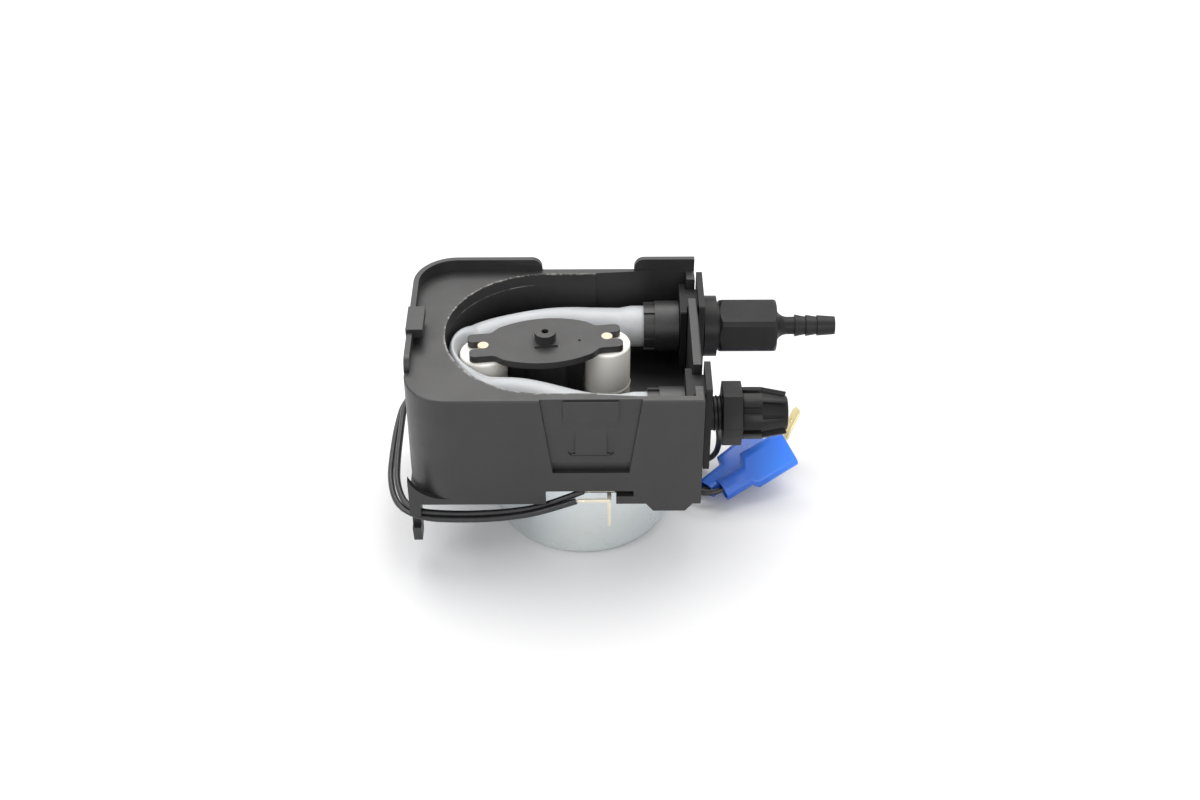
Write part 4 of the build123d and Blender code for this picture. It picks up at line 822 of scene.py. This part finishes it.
NUT_TURN = 7.4  # degrees about the fitting's axis
NUT_STRAIGHT, NUT_TAPER, NUT_DOME = 5.1 * MM, 6.6 * MM, 0.5 * MM  # lengths
NUT_CORE, NUT_BORE, NUT_SOCKET = 6.0 * MM, 3.0 * MM, 5.1 * MM  # radii
NUT_TAPERED, NUT_DOMED = 0.79, 0.93  # what is left of the radius past the taper, and past the dome
NUT_MOUTH = 0.2 * MM  # clearance of the bore at its mouth
NUT_BORE_DEPTH = 2.6 * MM
NUT_SOCKET_END = 2.4 * MM  # left of the taper past the socket
NUT_RIBS = 7
NUT_RIB_HEIGHT = 1.05 * MM
RIB_FACETS = 8  # facets of the core to a rib
PAD_RAISED, RIB_RAISED = 6, 2  # of them raised on the straight part, and on the taper
NUT_OUTSIDE = 0.76  # of the core's radius, past which a face is outside
NUT_STEEPEST = 0.5  # most that the normal of an outer face has along the axis


class PUMP_OT_nut(bpy.types.Operator):
    """Compression nut with ribs that follow its taper"""

    bl_idname = "pump.nut"
    bl_label = "Compression nut"

    def execute(self, context):
        low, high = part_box("compression_nut")
        y, z = fitting_axis("suction_union")
        nut = open_piece(
            "compression_nut_ribbed", bpy.ops.mesh.primitive_cylinder_add, axis_turn=NUT_TURN,
            vertices=RIB_FACETS * NUT_RIBS, radius=NUT_CORE, depth=NUT_STRAIGHT,
            location=(low.x + NUT_STRAIGHT / 2, y, z),
        )
        tip = (high.x, y, z)
        pick(nut, lambda spot, normal: normal.x > SQUARE_ON)
        pull((NUT_TAPER, 0, 0), (1, NUT_TAPERED, NUT_TAPERED), tip)
        pull((NUT_DOME, 0, 0), (1, NUT_DOMED, NUT_DOMED), tip)
        bpy.ops.mesh.inset(thickness=NUT_DOMED * NUT_TAPERED * NUT_CORE - NUT_BORE - NUT_MOUTH)
        pull((-NUT_BORE_DEPTH, 0, 0))
        bpy.ops.mesh.delete(type="FACE")
        pick(nut, lambda spot, normal: normal.x < -SQUARE_ON)
        bpy.ops.mesh.inset(thickness=NUT_CORE - NUT_SOCKET)
        pull((NUT_STRAIGHT + NUT_TAPER - NUT_SOCKET_END, 0, 0))
        bpy.ops.mesh.delete(type="FACE")
        pick(nut, lambda spot, edge: len(edge.link_faces) == 1, "EDGE")
        bpy.ops.mesh.bridge_edge_loops()
        pitch = 360 / NUT_RIBS

        def on_rib(spot, normal):
            """True for an outer face that lies on a rib."""
            outward = Vector((0, spot.y - y, spot.z - z))
            if outward.length < NUT_OUTSIDE * NUT_CORE or normal.dot(outward) < 0:
                return False
            if abs(normal.x) > NUT_STEEPEST:
                return False
            turn = math.degrees(math.atan2(spot.z - z, spot.y - y)) - NUT_TURN
            from_rib = abs((turn + pitch / 2) % pitch - pitch / 2)
            raised = PAD_RAISED if spot.x < low.x + NUT_STRAIGHT else RIB_RAISED
            return from_rib < raised / 2 * pitch / RIB_FACETS

        pick(nut, on_rib)
        bpy.ops.mesh.extrude_region_shrink_fatten(TRANSFORM_OT_shrink_fatten={"value": NUT_RIB_HEIGHT})
        close_piece(nut, bevel=0.16 * MM, angle=28)
        dress(nut, "base", "nut_plastic", "compression_nut")
        return {"FINISHED"}


HEX_TURN = -8.7  # degrees about the fitting's axis
HEX_FLATS = 15.1  # millimetres across the flats
HEX_LENGTH = 5.1 * MM
HEX_CHAMFER, HEX_CROWN = 0.25 * MM, 0.1 * MM  # margin and rise of its end faces
NECK_LENGTH, NECK_RADIUS = 6.8 * MM, 5.1 * MM
NIPPLE_LENGTH, NIPPLE_WALL = 1.7 * MM, 0.9 * MM
NIPPLE_STEP = 3.1 * MM  # radius lost from the neck
UNION_BORE_DEPTH = 4 * MM
STUB_LENGTH = 6.6 * MM  # of the connector, past its flange
THREAD_START = 0.5 * MM  # past the flange
THREAD_RADIUS, THREAD_SIZE = 4.62 * MM, 0.34 * MM  # of the ridge's middle, and of its section
THREAD_TURNS, THREAD_STEPS = 3, 36  # steps to a turn


class PUMP_OT_union(bpy.types.Operator):
    """Suction union: a crisp hexagon with a plain neck and nipple, and the thread of the stub behind it"""

    bl_idname = "pump.union"
    bl_label = "Suction union"

    def execute(self, context):
        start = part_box("suction_union")[0].x
        y, z = fitting_axis("suction_union")
        union = open_piece(
            "suction_union_hex", bpy.ops.mesh.primitive_cylinder_add, axis_turn=HEX_TURN, vertices=6,
            radius=HEX_FLATS / math.sqrt(3) * MM, depth=HEX_LENGTH, location=(start + HEX_LENGTH / 2, y, z),
        )
        for side in (-1, 1):
            pick(union, lambda spot, normal: normal.x * side > SQUARE_ON)
            bpy.ops.mesh.inset(thickness=HEX_CHAMFER)
            bpy.ops.transform.translate(value=(side * HEX_CROWN, 0, 0))
        bpy.ops.mesh.primitive_cylinder_add(
            vertices=48, radius=NECK_RADIUS, depth=NECK_LENGTH,
            location=(start + HEX_LENGTH + NECK_LENGTH / 2, y, z), rotation=(0, math.pi / 2, 0),
        )
        tip = start + HEX_LENGTH + NECK_LENGTH
        pick(union, lambda spot, normal: normal.x > SQUARE_ON and abs(spot.x - tip) < CLOSE)
        bpy.ops.mesh.inset(thickness=NIPPLE_STEP)
        pull((NIPPLE_LENGTH, 0, 0))
        bpy.ops.mesh.inset(thickness=NIPPLE_WALL)
        pull((-UNION_BORE_DEPTH, 0, 0))
        close_piece(union, bevel=0.12 * MM, angle=40)
        dress(union, "base", "fitting_plastic", "suction_union")
        self.cut_thread(context.scene.pump_sizes.thread_pitch, y, z)
        return {"FINISHED"}

    @staticmethod
    def cut_thread(pitch, y, z):
        """Winds a three-sided ridge round the stub between the connector's flange and the union."""
        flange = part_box("suction_connector")[1].x - STUB_LENGTH
        thread = open_piece(
            "suction_stub_thread", bpy.ops.mesh.primitive_circle_add, vertices=3, radius=THREAD_SIZE,
            fill_type="NOTHING", location=(flange + THREAD_START, 0, 0),
        )
        bpy.ops.mesh.select_all(action="SELECT")
        bpy.ops.transform.translate(value=(0, THREAD_RADIUS, 0))
        bpy.ops.object.mode_set(mode="OBJECT")
        winding = thread.modifiers.new("winding", "SCREW")
        winding.axis = "X"
        winding.angle = math.radians(360 * THREAD_TURNS)
        winding.screw_offset = pitch * THREAD_TURNS
        winding.steps = THREAD_STEPS * THREAD_TURNS
        winding.render_steps = THREAD_STEPS * THREAD_TURNS
        winding.use_merge_vertices = False
        bpy.ops.object.modifier_apply(modifier=winding.name)
        thread.location = (0, y, z)
        bpy.ops.object.transform_apply(location=True, rotation=True, scale=True)
        bpy.ops.object.mode_set(mode="EDIT")
        close_piece(thread)
        dress(thread, "base", "fitting_plastic")


POCKET_WALL = 30.7 * MM - 0.8 * MM  # half the body's width, less the pocket's depth
POCKET_MIDDLE = 12.4 * MM  # along X
WEDGE_TOP, WEDGE_KNEE, WEDGE_BOTTOM = 50.0 * MM, 46.2 * MM, 42.35 * MM  # heights over the floor
WEDGE_WIDTH, WEDGE_THICK = 8.4 * MM, 1.7 * MM
WEDGE_LEAN = 0.45 * MM  # of its top, inwards
WEDGE_TIP, WEDGE_TIP_INSET = (0.98, 0.5, 1), 0.4 * MM  # section left at the top, and its line in the wall
TOE_LENGTH, TOE, TOE_INSET = 0.3 * MM, (0.94, 0.72, 1), 0.6 * MM  # the same for the eased toe
LEDGE_WIDTH, LEDGE_DEPTH, LEDGE_HEIGHT = 10.4 * MM, 1.0 * MM, 0.5 * MM
LEDGE_INSET, LEDGE_DROP = 0.12 * MM, 1.0 * MM  # into the wall, and below the wedge
LEDGE_KNEE = 0.7 * MM  # along the wall and up, at 45 degrees
HORN_RUN, HORN_RISE = 0.25 * MM, 0.9 * MM  # of each end past its knee
HORN, HORN_INSET = (1, 0.8, 0.5), 0.5 * MM  # section left at its end, and its line in the wall


class PUMP_OT_latches(bpy.types.Operator):
    """Snap wedges with a ledge, in the latch pockets of both long walls"""

    bl_idname = "pump.latches"
    bl_label = "Latches"

    def execute(self, context):
        for side, name in ((-1, "front"), (1, "back")):
            self.wedge(side, "latch_wedge_" + name)
            self.ledge(side, "latch_ledge_" + name)
        return {"FINISHED"}

    @staticmethod
    def wedge(side, name):
        """Snap wedge, thin at its top and eased at its toe."""
        wedge = open_block(
            name, (WEDGE_WIDTH, WEDGE_THICK, WEDGE_KNEE - WEDGE_BOTTOM),
            (POCKET_MIDDLE, side * POCKET_WALL, (WEDGE_KNEE + WEDGE_BOTTOM) / 2),
        )
        pick(wedge, lambda spot, normal: normal.z > SQUARE_ON)
        tip = (POCKET_MIDDLE, side * (POCKET_WALL - WEDGE_TIP_INSET), WEDGE_TOP)
        pull((0, -side * WEDGE_LEAN, WEDGE_TOP - WEDGE_KNEE), WEDGE_TIP, tip)
        pick(wedge, lambda spot, normal: normal.z < -SQUARE_ON)
        toe = (POCKET_MIDDLE, side * (POCKET_WALL - TOE_INSET), WEDGE_BOTTOM)
        pull((0, 0, -TOE_LENGTH), TOE, toe)
        close_piece(wedge, bevel=0.14 * MM, angle=20)
        dress(wedge, "base", "body_plastic")

    @staticmethod
    def ledge(side, name):
        """Ledge under the wedge, turned up at both ends."""
        ledge = open_block(
            name, (LEDGE_WIDTH, LEDGE_DEPTH, LEDGE_HEIGHT),
            (POCKET_MIDDLE, side * (POCKET_WALL - LEDGE_INSET), WEDGE_BOTTOM - LEDGE_DROP),
        )
        horn = (POCKET_MIDDLE, side * (POCKET_WALL - HORN_INSET), WEDGE_BOTTOM)
        for end in (-1, 1):
            pick(ledge, lambda spot, normal: normal.x * end > SQUARE_ON)
            pull((end * LEDGE_KNEE, 0, LEDGE_KNEE))
            pull((end * HORN_RUN, 0, HORN_RISE), HORN, horn)
        close_piece(ledge, bevel=0.1 * MM, angle=20)
        dress(ledge, "base", "body_plastic")


TAB_THICK, TAB_WIDTH = 0.5 * MM, 1.15 * MM
LEG_LENGTH = 9.0 * MM  # of the front tab's leg, below its run
LEG_SHOULDER, LEG_POINT = 0.8 * MM, 0.7 * MM  # its straight start and its pointed end
LEG_TAPERED, LEG_POINTED = (0.8, 1, 1), (0.35, 1, 1)  # what is left of its section past each
LEG_LEAN = 0.3  # of the tab's width from the corner, the line that the taper closes on
CORNER_BEND = 0.7 * MM  # radius of the corner over the leg
FOOT_OVERLAP = 0.1 * MM  # of a foot into its tab
FOOT_EDGE = 0.1 * MM  # margin round the face that meets the motor
FRONT_FOOT, REAR_FOOT = 9.5 * MM, 0.9 * MM  # above the front tab's point, and below the rear tab's top
SOLDER_RADIUS = 0.75 * MM
SOLDER_SHAPE, SOLDER_TAIL = (1.9, 0.75, 0.85), (1.2, 0.8, 0.7)  # of the whole drop, then of its left half
SOLDER_ALONG, SOLDER_DROP = 0.9 * MM, 0.1 * MM  # from the tab's free end, and below its middle


class PUMP_OT_tabs(bpy.types.Operator):
    """Two bent solder tabs on the motor, with the leads soldered to them"""

    bl_idname = "pump.tabs"
    bl_label = "Solder tabs"

    def execute(self, context):
        for node, has_leg in (("terminal_tab_front", True), ("terminal_tab_rear", False)):
            low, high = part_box(node)
            self.tab(node, low, high, has_leg)
            self.solder(node, low, high)
        return {"FINISHED"}

    @staticmethod
    def tab(node, low, high, has_leg):
        """Flat tab with a foot into the motor; the front one has a leg that narrows downwards."""
        run = high.x - low.x - TAB_WIDTH
        tab = open_block(
            node + "_bent", (run, TAB_THICK, TAB_WIDTH),
            (low.x + run / 2, low.y + TAB_THICK / 2, high.z - TAB_WIDTH / 2),
        )
        pick(tab, lambda spot, normal: normal.x > SQUARE_ON)
        pull((TAB_WIDTH, 0, 0))
        foot_left, foot_z = low.x, high.z - REAR_FOOT
        if has_leg:
            corner = high.x
            pick(tab, lambda spot, normal: normal.z < -SQUARE_ON and spot.x > corner - TAB_WIDTH)
            pull((0, 0, -LEG_SHOULDER))
            taper = LEG_LENGTH - LEG_SHOULDER - LEG_POINT
            pull((0, 0, -taper), LEG_TAPERED, (corner - LEG_LEAN * TAB_WIDTH, low.y, low.z))
            pull((0, 0, -LEG_POINT), LEG_POINTED, (corner - TAB_WIDTH / 2, low.y, low.z))
            pick(tab, lambda spot, edge: spot.z > high.z - CLOSE and spot.x > corner - CLOSE, "EDGE")
            bpy.ops.mesh.bevel(offset=CORNER_BEND, segments=4)
            foot_left, foot_z = corner - TAB_WIDTH, low.z + FRONT_FOOT
        start = low.y + TAB_THICK - FOOT_OVERLAP
        bpy.ops.mesh.primitive_cube_add(
            size=1, location=(foot_left + TAB_WIDTH / 2, (start + high.y) / 2, foot_z),
            scale=(TAB_WIDTH, high.y - start, TAB_THICK),
        )
        pick(tab, lambda spot, normal: normal.y > SQUARE_ON and spot.y > high.y - CLOSE)
        bpy.ops.mesh.inset(thickness=FOOT_EDGE)
        close_piece(tab, bevel=0.09 * MM, angle=35)
        dress(tab, "base", "bright_steel", node)

    @staticmethod
    def solder(node, low, high):
        """Drop of solder over the tab's free end, with a thinner tail towards the lead."""
        joint = open_piece(
            node + "_solder", bpy.ops.mesh.primitive_ico_sphere_add, subdivisions=3, radius=SOLDER_RADIUS
        )
        bpy.ops.transform.resize(value=SOLDER_SHAPE, center_override=(0, 0, 0))
        pick(joint, lambda spot, corner: spot.x < 0, "VERT")
        bpy.ops.transform.resize(value=SOLDER_TAIL, center_override=(0, 0, 0))
        bpy.ops.mesh.select_all(action="SELECT")
        bpy.ops.transform.translate(
            value=(low.x + SOLDER_ALONG, low.y + TAB_THICK / 2, high.z - TAB_WIDTH / 2 - SOLDER_DROP)
        )
        close_piece(joint)
        dress(joint, "base", "bright_steel")


# ---------------------------------------------------------------- add-on
class PUMP_PT_panel(bpy.types.Panel):
    """Lists the pieces in the 3D view's sidebar"""

    bl_label = "Pump"
    bl_idname = "PUMP_PT_panel"
    bl_space_type = "VIEW_3D"
    bl_region_type = "UI"
    bl_category = "Pump"

    def draw(self, context):
        for operator in STEPS:
            self.layout.operator(operator.bl_idname)


STEPS = (
    PUMP_OT_stage, PUMP_OT_finishes, PUMP_OT_sleeves, PUMP_OT_blade, PUMP_OT_leads,
    PUMP_OT_tube, PUMP_OT_nut, PUMP_OT_union, PUMP_OT_latches, PUMP_OT_tabs,
)
CLASSES = (PumpSizes, PumpColours, *STEPS, PUMP_PT_panel)


def register():
    for made in CLASSES:
        bpy.utils.register_class(made)
    bpy.types.Scene.pump_sizes = bpy.props.PointerProperty(type=PumpSizes)
    bpy.types.Scene.pump_colours = bpy.props.PointerProperty(type=PumpColours)


def unregister():
    del bpy.types.Scene.pump_colours
    del bpy.types.Scene.pump_sizes
    for made in reversed(CLASSES):
        bpy.utils.unregister_class(made)


def main():
    register()
    for step in STEPS:
        group, name = step.bl_idname.split(".")
        getattr(getattr(bpy.ops, group), name)()


if __name__ == "__main__":
    main()
